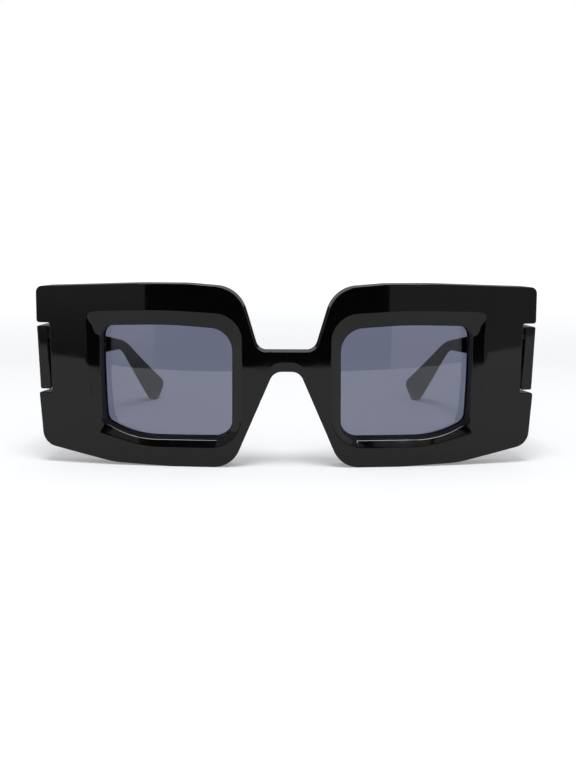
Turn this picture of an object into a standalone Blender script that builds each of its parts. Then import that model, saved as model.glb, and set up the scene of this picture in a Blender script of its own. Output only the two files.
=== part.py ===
"""Rectangular sunglasses with a thick black acetate front, tinted lenses and folding temples.

+X runs to the right as seen from in front, -Y faces the viewer and +Z is up.
The sunglasses stand open on a table at z = 0, on the lower rims and the temple tips.
The front is drawn flat, with x along its curved face and y as the depth behind that face,
and is then bent. Each temple is drawn flat the same way, with y along its length.
"""

import math

import bmesh
import bpy
from mathutils import Matrix, Vector

# Front, with widths measured along the curved face from its middle
FRONT_HALF_ARC = 0.0760
FRONT_HEIGHT = 0.0545
FRONT_THICKNESS = 0.0078
FRONT_FACE_RADIUS = 0.300
FRONT_EDGE_ROUNDING = 0.0004

# Upper edge of the front
BRIDGE_THICKNESS = 0.00595
BRIDGE_TOP_HALF_WIDTH = 0.0086
BRIDGE_TOP_RADIUS = 0.0032
BROW_INNER_HALF_WIDTH = 0.0143
BROW_INNER_DROP = 0.0012
BROW_INNER_RADIUS = 0.0100
BROW_CREST_INNER_RADIUS = 0.040
BROW_CREST_OUTER_RADIUS = 0.200
BROW_OUTER_DROP = 0.0012
BROW_OUTER_RADIUS = 0.0016

# Notch in each side of the front, open outwards
NOTCH_DEPTH = 0.0042
NOTCH_WALL_SLANT = 0.0004
NOTCH_INNER_RADIUS = 0.0004
PRONG_RADIUS = 0.0008
LOWER_PRONG_INSET = 0.0004

# Lower edge of the front
LOWER_CORNER_INSET = 0.00165
LOWER_CORNER_RADIUS = 0.0049
LOWER_RIM_TURN_HEIGHT = 0.0008
LOWER_RIM_TURN_RADIUS = 0.030
REST_OUTER_RADIUS = 0.041
REST_INNER_RADIUS = 0.0083
NOSE_ARCH_HALF_WIDTH = 0.0041
NOSE_ARCH_RADIUS = 0.0029

# Outline points in shares of the front's half arc and of its height
REST_INNER_ARC_SHARE = 0.2162
RIM_INNER_ARC_SHARE = 0.2130
BROW_CREST_INNER_ARC_SHARE = 0.392
REST_OUTER_ARC_SHARE = 0.450
BROW_CREST_OUTER_ARC_SHARE = 0.5805
LOWER_RIM_TURN_ARC_SHARE = 0.684
LOWER_CORNER_HEIGHT_SHARE = 0.104
NOTCH_BOTTOM_HEIGHT_SHARE = 0.394
BRIDGE_TOP_HEIGHT_SHARE = 0.6367
NOTCH_TOP_HEIGHT_SHARE = 0.778

# Lens openings: what is left of the front round the rim edge, and the sunk facets about it
SIDE_PANEL_WIDTH = 0.01970
UPPER_BAR_HEIGHT = 0.0122
LOWER_BAR_HEIGHT = 0.0081
FACET_INNER_WIDTH = 0.0030
FACET_OUTER_WIDTH = 0.0036
FACET_UPPER_WIDTH = 0.0043
FACET_LOWER_WIDTH = 0.0021
FACET_DEPTH = 0.0021

# Corners in shares of those boxes: across, up, radius over the box's height
RIM_CORNER_SHARES = (
    (0.0, 0.960, 0.206),
    (0.491, 1.0, 4.0),
    (1.0, 0.984, 0.102),
    (1.0, 0.46, 8.0),
    (0.983, 0.131, 0.099),
    (0.77, 0.0, 0.891),
    (0.005, 0.0, 0.164),
)
FACET_CORNER_SHARES = (
    (0.0, 0.967, 0.204),
    (0.50, 1.0, 4.0),
    (1.0, 0.982, 0.094),
    (1.0, 0.46, 1.9),
    (0.918, 0.090, 0.025),
    (0.625, 0.0, 0.883),
    (0.0, 0.0, 0.235),
)
OPENING_CORNER_STEPS = (7, 3, 5, 6, 5, 4, 6)
OPENING_RUN_STEPS = 4

# Lens and its groove, behind the rim edge
RIM_LIP = 0.0030
GROOVE_DEPTH = 0.0008
LENS_THICKNESS = 0.0018
LENS_CLEARANCE = 0.0002

# Nose pads bonded to the back of the front, beside the nose
PAD_INSET = 0.0006
PAD_TOP_WIDTH = 0.0038
PAD_BOTTOM_WIDTH = 0.0022
PAD_CORNER_RADIUS = 0.0009
PAD_DEPTH = 0.0040
PAD_CROWN_DEPTH = 0.0016
PAD_CROWN_INSET = 0.0007
BOND_GAP = 0.0002
PAD_TOP_SHARE = 0.852
PAD_BOTTOM_SHARE = 0.278

# Temple, drawn along its length from the butt in the notch
TEMPLE_LENGTH = 0.1396
TEMPLE_THICKNESS = 0.0034
TEMPLE_HEADING = math.radians(1.7)
TEMPLE_BOW_RADIUS = 0.60
TEMPLE_LEAN = math.radians(2.2)
TEMPLE_EDGE_ROUNDING = 0.0005
BUTT_SETBACK = 0.0002
BUTT_SIDE_GAP = 0.0003
BUTT_TOP_GAP = 0.0010
BUTT_BOTTOM_GAP = 0.0008
BUTT_CORNER_RADIUS = 0.0009
SHOULDER_DROP = 0.0004
SHOULDER_RADIUS = 0.030
BEND_TOP_HEIGHT = 0.0275
BEND_TOP_RADIUS = 0.040
BEND_NECK_HEIGHT = 0.0030
BEND_UNDERSIDE_RADIUS = 0.020
WAIST_RISE = 0.0015
WAIST_RADIUS = 0.080
TIP_FOOT_LENGTH = 0.0022
TIP_FOOT_RADIUS = 0.0016
TIP_REAR_HEIGHT = 0.0060
TIP_REAR_RADIUS = 0.0022

# Places along the temple in shares of its length
SHOULDER_SHARE = 0.13
WAIST_SHARE = 0.465
BEND_TOP_SHARE = 0.687
BEND_UNDERSIDE_SHARE = 0.705
TIP_FOOT_SHARE = 0.920

# Hinge
HINGE_INSET = 0.0007
HINGE_REACH = 0.0032
HINGE_GAP = 0.0002
KNUCKLE_RADIUS = 0.0020
KNUCKLE_HEIGHT = 0.0020
KNUCKLE_COUNT = 5
SCREW_RADIUS = 0.00065
SCREW_HEAD_RADIUS = 0.0014
SCREW_HEAD_HEIGHT = 0.0006
SCREW_SLOT_WIDTH = 0.0004
SCREW_SLOT_DEPTH = 0.0003
LEAF_THICKNESS = 0.0012
LEAF_PROUD = 0.0003
LEAF_MARGIN = 0.0003
FRONT_LEAF_WIDTH = 0.0065
FRONT_LEAF_WALL = 0.0012
FRONT_WEB_WIDTH = 0.0030
TEMPLE_WEB_WIDTH = 0.0016
WEB_OVERLAP = 0.0006
TEMPLE_LEAF_LENGTH = 0.0100
TEMPLE_LEAF_LEAD = 0.0010
TEMPLE_LEAF_SEAT_GAP = 0.0004

# Core wire in its channel in the temple
WIRE_RADIUS = 0.00065
WIRE_CLEARANCE = 0.00025
WIRE_BEND_RADIUS = 0.020
WIRE_TIP_SHARE = 0.50

# Mesh fineness and the overrun of the cutters
ARC_STEP = math.radians(15)
FRONT_BEND_STEP = math.radians(1.2)
TEMPLE_BEND_STEP = math.radians(1.1)
ROUND_SIDES = 24
WIRE_BEVEL_RESOLUTION = 2
CUT_OVERRUN = 0.0020
WELD_DISTANCE = 0.000001
SMOOTH_ANGLE = math.radians(20)
FLAT_ANGLE = math.radians(0.1)
SQUARE_ANGLE = math.radians(80)
QUARTER_TURN = math.radians(90)

RIGHT, LEFT = "right", "left"
SIDE_SIGNS = {RIGHT: 1, LEFT: -1}

# Values that follow from the sizes above
REST_INNER_ARC = FRONT_HALF_ARC * REST_INNER_ARC_SHARE
NOTCH_WALL_ARC = FRONT_HALF_ARC - NOTCH_DEPTH
NOTCH_TOP_HEIGHT = FRONT_HEIGHT * NOTCH_TOP_HEIGHT_SHARE
NOTCH_BOTTOM_HEIGHT = FRONT_HEIGHT * NOTCH_BOTTOM_HEIGHT_SHARE
BRIDGE_TOP_HEIGHT = FRONT_HEIGHT * BRIDGE_TOP_HEIGHT_SHARE
NOSE_ARCH_HEIGHT = BRIDGE_TOP_HEIGHT - BRIDGE_THICKNESS
RIM_INNER_ARC = FRONT_HALF_ARC * RIM_INNER_ARC_SHARE
RIM_WIDTH = FRONT_HALF_ARC - SIDE_PANEL_WIDTH - RIM_INNER_ARC
RIM_HEIGHT = FRONT_HEIGHT - UPPER_BAR_HEIGHT - LOWER_BAR_HEIGHT
RECESS_INNER_ARC = RIM_INNER_ARC - FACET_INNER_WIDTH
RECESS_WIDTH = RIM_WIDTH + FACET_INNER_WIDTH + FACET_OUTER_WIDTH
RECESS_BOTTOM_HEIGHT = LOWER_BAR_HEIGHT - FACET_LOWER_WIDTH
RECESS_HEIGHT = RIM_HEIGHT + FACET_LOWER_WIDTH + FACET_UPPER_WIDTH
LENS_FRONT_DEPTH = FACET_DEPTH + RIM_LIP
LENS_MIDDLE_DEPTH = LENS_FRONT_DEPTH + LENS_THICKNESS / 2
LENS_BACK_DEPTH = LENS_FRONT_DEPTH + LENS_THICKNESS
PAD_TOP_HEIGHT = NOSE_ARCH_HEIGHT * PAD_TOP_SHARE
PAD_BOTTOM_HEIGHT = NOSE_ARCH_HEIGHT * PAD_BOTTOM_SHARE
BEND_UNDERSIDE_HEIGHT = BEND_TOP_HEIGHT - BEND_NECK_HEIGHT
WAIST_HEIGHT = BEND_UNDERSIDE_HEIGHT + WAIST_RISE
BUTT_TOP_HEIGHT = NOTCH_TOP_HEIGHT - BUTT_TOP_GAP
BUTT_BOTTOM_HEIGHT = NOTCH_BOTTOM_HEIGHT + BUTT_BOTTOM_GAP
BUTT_MIDDLE_HEIGHT = (BUTT_TOP_HEIGHT + BUTT_BOTTOM_HEIGHT) / 2
BARREL_HEIGHT = KNUCKLE_COUNT * KNUCKLE_HEIGHT + (KNUCKLE_COUNT - 1) * HINGE_GAP
BARREL_BOTTOM_HEIGHT = BUTT_MIDDLE_HEIGHT - BARREL_HEIGHT / 2


def clear_scene():
    """Remove everything that the scene holds."""
    for thing in list(bpy.data.objects):
        bpy.data.objects.remove(thing, do_unlink=True)
    for collection in list(bpy.data.collections):
        bpy.data.collections.remove(collection)


def new_collection(name, is_cutter=False):
    """Return a new collection under the scene's own."""
    collection = bpy.data.collections.new(name)
    collection.hide_render = is_cutter
    bpy.context.scene.collection.children.link(collection)
    return collection


def new_material(name, colour, roughness, metallic=0.0, alpha=1.0):
    """Return a plain Principled material."""
    material = bpy.data.materials.new(name)
    material.use_nodes = True
    material.diffuse_color = (*colour, alpha)
    shader = material.node_tree.nodes["Principled BSDF"]
    shader.inputs["Base Color"].default_value = (*colour, 1.0)
    shader.inputs["Roughness"].default_value = roughness
    shader.inputs["Metallic"].default_value = metallic
    shader.inputs["Alpha"].default_value = alpha
    return material


# Outlines


def corner_arc(before, corner, after, radius, steps=None):
    """Return the points of the arc that rounds a corner between two straight runs."""
    corner = Vector(corner)
    to_before = (Vector(before) - corner).normalized()
    to_after = (Vector(after) - corner).normalized()
    opening = to_before.angle(to_after)
    turn = math.pi - opening
    if radius == 0 or turn == 0:
        return [corner]
    steps = steps or max(2, math.ceil(turn / ARC_STEP))
    reach = radius / math.tan(opening / 2)
    centre = corner + (to_before + to_after).normalized() * radius / math.sin(opening / 2)
    start = corner + to_before * reach - centre
    is_left_turn = to_before.cross(to_after) < 0
    points = []
    for step in range(steps + 1):
        angle = turn * step / steps * (1 if is_left_turn else -1)
        spoke = Matrix.Rotation(angle, 2) @ start
        points.append(centre + spoke)
    return points


def rounded_run(corners, steps=None, is_closed=True):
    """Return the outline through corners given as (across, up, radius)."""
    points = []
    for index, (across, up, radius) in enumerate(corners):
        is_end = not is_closed and index in (0, len(corners) - 1)
        if is_end:
            points.append(Vector((across, up)))
            continue
        before = corners[index - 1][:2]
        after = corners[(index + 1) % len(corners)][:2]
        count = steps[index] if steps else None
        points += corner_arc(before, (across, up), after, radius, count)
    return points


def subdivided(points, arc_steps, run_steps):
    """Return a closed outline with its straight runs, between the arcs, cut into even steps."""
    result = []
    first = 0
    for count in arc_steps:
        last = first + count
        following = points[(last + 1) % len(points)]
        result += points[first : last + 1]
        for step in range(1, run_steps):
            result.append(points[last].lerp(following, step / run_steps))
        first = last + 1
    return result


def grown(points, distance):
    """Return a closed outline moved outwards by a distance, whichever way it runs."""
    area = sum(points[i - 1].cross(points[i]) for i in range(len(points)))
    sign = 1 if area > 0 else -1
    moved = []
    for index, point in enumerate(points):
        before = (point - points[index - 1]).normalized()
        after = (points[(index + 1) % len(points)] - point).normalized()
        along = (before + after).normalized()
        outward = Vector((along.y, -along.x)) * sign
        moved.append(point + outward * distance / along.dot(after))
    return moved


def front_outline():
    """Return the closed outline of the flat front."""
    lower_prong_arc = FRONT_HALF_ARC - LOWER_PRONG_INSET
    corners = [
        (0, BRIDGE_TOP_HEIGHT, 0),
        (BRIDGE_TOP_HALF_WIDTH, BRIDGE_TOP_HEIGHT, BRIDGE_TOP_RADIUS),
        (BROW_INNER_HALF_WIDTH, FRONT_HEIGHT - BROW_INNER_DROP, BROW_INNER_RADIUS),
        (
            FRONT_HALF_ARC * BROW_CREST_INNER_ARC_SHARE,
            FRONT_HEIGHT,
            BROW_CREST_INNER_RADIUS,
        ),
        (
            FRONT_HALF_ARC * BROW_CREST_OUTER_ARC_SHARE,
            FRONT_HEIGHT,
            BROW_CREST_OUTER_RADIUS,
        ),
        (FRONT_HALF_ARC, FRONT_HEIGHT - BROW_OUTER_DROP, BROW_OUTER_RADIUS),
        (FRONT_HALF_ARC, NOTCH_TOP_HEIGHT, PRONG_RADIUS),
        (NOTCH_WALL_ARC, NOTCH_TOP_HEIGHT, NOTCH_INNER_RADIUS),
        (NOTCH_WALL_ARC - NOTCH_WALL_SLANT, NOTCH_BOTTOM_HEIGHT, NOTCH_INNER_RADIUS),
        (lower_prong_arc, NOTCH_BOTTOM_HEIGHT, PRONG_RADIUS),
        (
            FRONT_HALF_ARC - LOWER_CORNER_INSET,
            FRONT_HEIGHT * LOWER_CORNER_HEIGHT_SHARE,
            LOWER_CORNER_RADIUS,
        ),
        (
            FRONT_HALF_ARC * LOWER_RIM_TURN_ARC_SHARE,
            LOWER_RIM_TURN_HEIGHT,
            LOWER_RIM_TURN_RADIUS,
        ),
        (FRONT_HALF_ARC * REST_OUTER_ARC_SHARE, 0, REST_OUTER_RADIUS),
        (REST_INNER_ARC, 0, REST_INNER_RADIUS),
        (NOSE_ARCH_HALF_WIDTH, NOSE_ARCH_HEIGHT, NOSE_ARCH_RADIUS),
        (0, NOSE_ARCH_HEIGHT, 0),
    ]
    right_half = rounded_run(corners, is_closed=False)
    left_half = [Vector((-point.x, point.y)) for point in reversed(right_half[1:-1])]
    return right_half + left_half


def boxed_outline(shares, across, up, width, height):
    """Return a lens outline from corners in shares of its box."""
    corners = [
        (across + width * x, up + height * z, height * radius) for x, z, radius in shares
    ]
    outline = rounded_run(corners, OPENING_CORNER_STEPS)
    return subdivided(outline, OPENING_CORNER_STEPS, OPENING_RUN_STEPS)


def rim_outline():
    """Return the right lens opening's outline at the rim edge."""
    return boxed_outline(
        RIM_CORNER_SHARES, RIM_INNER_ARC, LOWER_BAR_HEIGHT, RIM_WIDTH, RIM_HEIGHT
    )


def recess_outline():
    """Return the outer outline of the facets on the front's face."""
    return boxed_outline(
        FACET_CORNER_SHARES,
        RECESS_INNER_ARC,
        RECESS_BOTTOM_HEIGHT,
        RECESS_WIDTH,
        RECESS_HEIGHT,
    )


def nose_wall_arc(height):
    """Return how far from the middle the nose opening's side lies at a height."""
    share = height / NOSE_ARCH_HEIGHT
    return REST_INNER_ARC + (NOSE_ARCH_HALF_WIDTH - REST_INNER_ARC) * share


def nose_pad_outline():
    """Return the outline of the right nose pad, along the nose opening's side."""
    top = nose_wall_arc(PAD_TOP_HEIGHT) + PAD_INSET
    bottom = nose_wall_arc(PAD_BOTTOM_HEIGHT) + PAD_INSET
    corners = [
        (top, PAD_TOP_HEIGHT, PAD_CORNER_RADIUS),
        (top + PAD_TOP_WIDTH, PAD_TOP_HEIGHT, PAD_CORNER_RADIUS),
        (bottom + PAD_BOTTOM_WIDTH, PAD_BOTTOM_HEIGHT, PAD_CORNER_RADIUS),
        (bottom, PAD_BOTTOM_HEIGHT, PAD_CORNER_RADIUS),
    ]
    return rounded_run(corners)


def temple_outline():
    """Return the side outline of a temple, as (distance along it, height)."""
    foot_start = TEMPLE_LENGTH * TIP_FOOT_SHARE
    corners = [
        (-CUT_OVERRUN, BUTT_TOP_HEIGHT, BUTT_CORNER_RADIUS),
        (-CUT_OVERRUN, BUTT_BOTTOM_HEIGHT, BUTT_CORNER_RADIUS),
        (TEMPLE_LENGTH * WAIST_SHARE, WAIST_HEIGHT, WAIST_RADIUS),
        (
            TEMPLE_LENGTH * BEND_UNDERSIDE_SHARE,
            BEND_UNDERSIDE_HEIGHT,
            BEND_UNDERSIDE_RADIUS,
        ),
        (foot_start, 0, TIP_FOOT_RADIUS),
        (foot_start + TIP_FOOT_LENGTH, 0, TIP_FOOT_RADIUS),
        (TEMPLE_LENGTH, TIP_REAR_HEIGHT, TIP_REAR_RADIUS),
        (TEMPLE_LENGTH * BEND_TOP_SHARE, BEND_TOP_HEIGHT, BEND_TOP_RADIUS),
        (TEMPLE_LENGTH * SHOULDER_SHARE, BUTT_TOP_HEIGHT - SHOULDER_DROP, SHOULDER_RADIUS),
    ]
    return rounded_run(corners)


def wire_path(start):
    """Return the core wire's path as (distance along the temple, height)."""
    bend_along = TEMPLE_LENGTH * (BEND_TOP_SHARE + BEND_UNDERSIDE_SHARE) / 2
    bend = Vector((bend_along, (BEND_TOP_HEIGHT + BEND_UNDERSIDE_HEIGHT) / 2))
    tip = Vector((TEMPLE_LENGTH * (TIP_FOOT_SHARE + 1) / 2, TIP_REAR_HEIGHT / 2))
    end = bend.lerp(tip, WIRE_TIP_SHARE)
    corners = [(start, BUTT_MIDDLE_HEIGHT, 0), (*bend, WIRE_BEND_RADIUS), (*end, 0)]
    return rounded_run(corners, is_closed=False)


# Meshes


def welded(mesh):
    """Weld the points of a mesh that coincide, and face it outwards."""
    shape = bmesh.new()
    shape.from_mesh(mesh)
    bmesh.ops.remove_doubles(shape, verts=shape.verts, dist=WELD_DISTANCE)
    bmesh.ops.dissolve_degenerate(shape, edges=shape.edges, dist=WELD_DISTANCE)
    bmesh.ops.recalc_face_normals(shape, faces=shape.faces)
    shape.to_mesh(mesh)
    shape.free()
    return mesh


def mesh_from_curve(curve, matrix):
    """Return a closed mesh made from a curve, with its caps welded on."""
    carrier = bpy.data.objects.new(curve.name, curve)
    bpy.context.scene.collection.objects.link(carrier)
    evaluated = carrier.evaluated_get(bpy.context.evaluated_depsgraph_get())
    mesh = bpy.data.meshes.new_from_object(evaluated)
    bpy.data.objects.remove(carrier, do_unlink=True)
    bpy.data.curves.remove(curve)
    mesh.transform(matrix)
    return welded(mesh)


def add_spline(curve, points, is_closed):
    """Add a straight-sided run through the points to a curve."""
    spline = curve.splines.new("POLY")
    spline.points.add(len(points) - 1)
    for target, point in zip(spline.points, points):
        target.co = (*point, 1.0)
    spline.use_cyclic_u = is_closed


def plate_mesh(name, outline, thickness, rounding, matrix):
    """Return a flat plate with bevelled edges, set up from the curve's plane by a matrix."""
    curve = bpy.data.curves.new(name, "CURVE")
    curve.dimensions = "2D"
    curve.fill_mode = "BOTH"
    curve.extrude = thickness / 2
    add_spline(curve, [(*point, 0) for point in outline], True)
    mesh = mesh_from_curve(curve, matrix)
    shape = bmesh.new()
    shape.from_mesh(mesh)
    bmesh.ops.dissolve_limit(
        shape, angle_limit=FLAT_ANGLE, verts=shape.verts, edges=shape.edges
    )
    rim = [edge for edge in shape.edges if edge.calc_face_angle() > SQUARE_ANGLE]
    bmesh.ops.bevel(shape, geom=rim, offset=rounding, segments=1, profile=0.5, affect="EDGES")
    shape.to_mesh(mesh)
    shape.free()
    return mesh


def tube_mesh(name, path, radius):
    """Return a round bar along a path in the temple's plane."""
    curve = bpy.data.curves.new(name, "CURVE")
    curve.dimensions = "3D"
    curve.fill_mode = "FULL"
    curve.bevel_depth = radius
    curve.bevel_resolution = WIRE_BEVEL_RESOLUTION
    curve.use_fill_caps = True
    add_spline(curve, [(0, along, up) for along, up in path], False)
    return mesh_from_curve(curve, Matrix.Identity(4))


def loft_mesh(name, sections):
    """Return a closed solid through outlines of equal count, given as (depth, outline)."""
    shape = bmesh.new()
    rings = []
    for depth, outline in sections:
        rings.append([shape.verts.new((point.x, depth, point.y)) for point in outline])
    for near, far in zip(rings, rings[1:]):
        for index in range(len(near)):
            shape.faces.new((near[index - 1], near[index], far[index], far[index - 1]))
    shape.faces.new(rings[0])
    shape.faces.new(rings[-1])
    bmesh.ops.recalc_face_normals(shape, faces=shape.faces)
    mesh = bpy.data.meshes.new(name)
    shape.to_mesh(mesh)
    shape.free()
    return mesh


def box_mesh(name, low, high):
    """Return a box between two opposite corners."""
    size = Vector(high) - Vector(low)
    middle = (Vector(high) + Vector(low)) / 2
    shape = bmesh.new()
    place = Matrix.Translation(middle) @ Matrix.Diagonal((*size, 1))
    bmesh.ops.create_cube(shape, size=1, matrix=place)
    mesh = bpy.data.meshes.new(name)
    shape.to_mesh(mesh)
    shape.free()
    return mesh


def cylinder_mesh(name, radius, bottom, top):
    """Return an upright cylinder on the Z axis."""
    shape = bmesh.new()
    bmesh.ops.create_cone(
        shape,
        cap_ends=True,
        segments=ROUND_SIDES,
        radius1=radius,
        radius2=radius,
        depth=top - bottom,
        matrix=Matrix.Translation((0, 0, (top + bottom) / 2)),
    )
    mesh = bpy.data.meshes.new(name)
    shape.to_mesh(mesh)
    shape.free()
    return mesh


class Workshop:
    """The collections and materials, and the operations that place solids in them."""

    def __init__(self):
        self.parts = new_collection("sunglasses")
        self.cutters = new_collection("cutters", is_cutter=True)
        self.acetate = new_material("black_acetate", (0.012, 0.012, 0.014), 0.12)
        self.lens = new_material("smoke_lens", (0.06, 0.065, 0.085), 0.03, alpha=0.85)
        self.hinge = new_material("nickel_silver", (0.62, 0.60, 0.56), 0.28, 1.0)
        self.screw = new_material("steel_screw", (0.55, 0.55, 0.56), 0.25, 1.0)
        self.wire = new_material("core_wire", (0.60, 0.58, 0.55), 0.30, 1.0)

    def combined(self, mesh, tools, operation="DIFFERENCE"):
        """Return the mesh after a Boolean with each tool mesh in turn."""
        body = bpy.data.objects.new(mesh.name, mesh)
        self.cutters.objects.link(body)
        for tool in tools:
            cutter = bpy.data.objects.new(tool.name, tool)
            self.cutters.objects.link(cutter)
            cutter.hide_render = True
            cutter.display_type = "WIRE"
            modifier = body.modifiers.new(tool.name, "BOOLEAN")
            modifier.object = cutter
            modifier.operation = operation
            modifier.solver = "EXACT"
        evaluated = body.evaluated_get(bpy.context.evaluated_depsgraph_get())
        result = bpy.data.meshes.new_from_object(evaluated)
        result.name = mesh.name
        welded(result)
        for modifier in body.modifiers:
            bpy.data.objects.remove(modifier.object, do_unlink=True)
        bpy.data.objects.remove(body, do_unlink=True)
        return result

    def add_part(self, name, mesh, material, parent=None):
        """Add one named solid, with its origin on its parent's."""
        mesh.name = name
        mesh.materials.clear()
        mesh.materials.append(material)
        mesh.shade_smooth()
        mesh.set_sharp_from_angle(angle=SMOOTH_ANGLE)
        part = bpy.data.objects.new(name, mesh)
        self.parts.objects.link(part)
        if parent:
            mesh.transform(Matrix.Translation(-parent.location))
            part.parent = parent
        return part

    def add_pair(self, name, mesh, material, pivots=None):
        """Add the right piece as it is drawn and the left one as its mirror image."""
        for side, sign in SIDE_SIGNS.items():
            copy = mesh.copy() if sign > 0 else mirrored(mesh)
            parent = pivots[side] if pivots else None
            self.add_part(f"{name}_{side}", copy, material, parent)


def mirrored(mesh):
    """Return the mirror image of a mesh across the middle plane."""
    copy = mesh.copy()
    copy.transform(Matrix.Diagonal((-1, 1, 1, 1)))
    copy.flip_normals()
    return copy


# Bending


def sliced(mesh, axis, step, low, high):
    """Cut a mesh's faces at even steps along an axis, so that it can follow a bend."""
    shape = bmesh.new()
    shape.from_mesh(mesh)
    normal = Vector((0, 0, 0))
    normal[axis] = 1
    for index in range(math.ceil(low / step), math.floor(high / step) + 1):
        geometry = shape.verts[:] + shape.edges[:] + shape.faces[:]
        bmesh.ops.bisect_plane(
            shape,
            geom=geometry,
            dist=WELD_DISTANCE,
            plane_co=normal * index * step,
            plane_no=normal,
        )
    return shape


def front_place(point):
    """Return where a point of the flat front lies once the front is bent."""
    angle = point.x / FRONT_FACE_RADIUS
    radius = FRONT_FACE_RADIUS - point.y
    return Vector(
        (radius * math.sin(angle), FRONT_FACE_RADIUS - radius * math.cos(angle), point.z)
    )


def bent_front(mesh):
    """Return a mesh drawn on the flat front, bent with it."""
    step = FRONT_FACE_RADIUS * FRONT_BEND_STEP
    shape = sliced(mesh, 0, step, -FRONT_HALF_ARC, FRONT_HALF_ARC)
    for vertex in shape.verts:
        vertex.co = front_place(vertex.co)
    shape.to_mesh(mesh)
    shape.free()
    return mesh


def butt_origin():
    """Return the middle of the temple's front end, where its length is counted from."""
    inner_edge = Vector((NOTCH_WALL_ARC + BUTT_SIDE_GAP, BUTT_SETBACK, 0))
    across = Vector((math.cos(TEMPLE_HEADING), math.sin(TEMPLE_HEADING), 0))
    return front_place(inner_edge) + across * TEMPLE_THICKNESS / 2


def temple_place(point):
    """Return where a point of the flat right temple lies once it is bowed and set."""
    angle = point.y / TEMPLE_BOW_RADIUS
    radius = TEMPLE_BOW_RADIUS + point.x
    bowed = Vector((radius * math.cos(angle) - TEMPLE_BOW_RADIUS, radius * math.sin(angle), 0))
    turned = Matrix.Rotation(TEMPLE_HEADING, 3, "Z") @ bowed
    lean = (point.z - BUTT_MIDDLE_HEIGHT) * math.tan(TEMPLE_LEAN)
    return butt_origin() + turned + Vector((lean, 0, point.z))


def bent_temple(mesh):
    """Return a mesh drawn on the flat temple, bowed and set in place with it."""
    step = TEMPLE_BOW_RADIUS * TEMPLE_BEND_STEP
    shape = sliced(mesh, 1, step, 0, TEMPLE_LENGTH)
    for vertex in shape.verts:
        vertex.co = temple_place(vertex.co)
    shape.to_mesh(mesh)
    shape.free()
    return mesh


class Hinge:
    """Where the right hinge's axis lies, on the flat front, in space and on the flat temple."""

    def __init__(self):
        self.arc = NOTCH_WALL_ARC - HINGE_INSET
        self.depth = FRONT_THICKNESS + HINGE_REACH
        self.point = front_place(Vector((self.arc, self.depth, 0)))
        self.front_angle = self.arc / FRONT_FACE_RADIUS
        offset = Matrix.Rotation(-TEMPLE_HEADING, 3, "Z") @ (self.point - butt_origin())
        bow_centre = Vector((-TEMPLE_BOW_RADIUS, 0, 0))
        spoke = offset - bow_centre
        spoke.z = 0
        self.bow_angle = math.atan2(spoke.y, spoke.x)
        self.along = self.bow_angle * TEMPLE_BOW_RADIUS
        inner_face = TEMPLE_BOW_RADIUS - TEMPLE_THICKNESS / 2
        self.standoff = inner_face - spoke.length
        self.temple_angle = self.bow_angle + TEMPLE_HEADING

    def knuckle_spans(self, first):
        """Return the (bottom, top) heights of every second knuckle, from the first."""
        pitch = KNUCKLE_HEIGHT + HINGE_GAP
        spans = []
        for index in range(first, KNUCKLE_COUNT, 2):
            bottom = BARREL_BOTTOM_HEIGHT + index * pitch
            spans.append((bottom, bottom + KNUCKLE_HEIGHT))
        return spans

    def placed(self, mesh, angle):
        """Return a mesh drawn about the axis, turned and moved to the right hinge."""
        mesh.transform(Matrix.Translation(self.point) @ Matrix.Rotation(angle, 4, "Z"))
        return mesh


# Pieces


def build_front(workshop):
    """Build the acetate front with its facets, grooves, notches and hinge pockets."""
    turn = Matrix.Rotation(QUARTER_TURN, 4, "X")
    upright = Matrix.Translation((0, FRONT_THICKNESS / 2, 0)) @ turn
    blank = plate_mesh(
        "front", front_outline(), FRONT_THICKNESS, FRONT_EDGE_ROUNDING, upright
    )
    rim = rim_outline()
    facet_reach = (FACET_DEPTH + CUT_OVERRUN) / FACET_DEPTH
    mouth = [edge.lerp(face, facet_reach) for edge, face in zip(rim, recess_outline())]
    opening = loft_mesh(
        "lens_opening",
        [
            (-CUT_OVERRUN, mouth),
            (FACET_DEPTH, rim),
            (LENS_FRONT_DEPTH, rim),
            (LENS_MIDDLE_DEPTH, grown(rim, GROOVE_DEPTH)),
            (LENS_BACK_DEPTH, rim),
            (FRONT_THICKNESS + CUT_OVERRUN, rim),
        ],
    )
    pocket = box_mesh(
        "front_leaf_pocket",
        (
            NOTCH_WALL_ARC - FRONT_LEAF_WALL - FRONT_LEAF_WIDTH - HINGE_GAP,
            FRONT_THICKNESS + LEAF_PROUD - LEAF_THICKNESS - HINGE_GAP,
            BARREL_BOTTOM_HEIGHT - LEAF_MARGIN - HINGE_GAP,
        ),
        (
            NOTCH_WALL_ARC - FRONT_LEAF_WALL + HINGE_GAP,
            FRONT_THICKNESS + CUT_OVERRUN,
            BARREL_BOTTOM_HEIGHT + BARREL_HEIGHT + LEAF_MARGIN + HINGE_GAP,
        ),
    )
    cuts = [bent_front(opening), bent_front(pocket)]
    cuts += [mirrored(cut) for cut in cuts]
    workshop.add_part("front", workshop.combined(bent_front(blank), cuts), workshop.acetate)


def build_lenses(workshop):
    """Build both lenses, each with a pointed edge that sits in the rim's groove."""
    rim = rim_outline()
    face = grown(rim, -LENS_CLEARANCE)
    edge = grown(rim, GROOVE_DEPTH - LENS_CLEARANCE)
    mesh = loft_mesh(
        "lens",
        [(LENS_FRONT_DEPTH, face), (LENS_MIDDLE_DEPTH, edge), (LENS_BACK_DEPTH, face)],
    )
    workshop.add_pair("lens", bent_front(mesh), workshop.lens)


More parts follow.
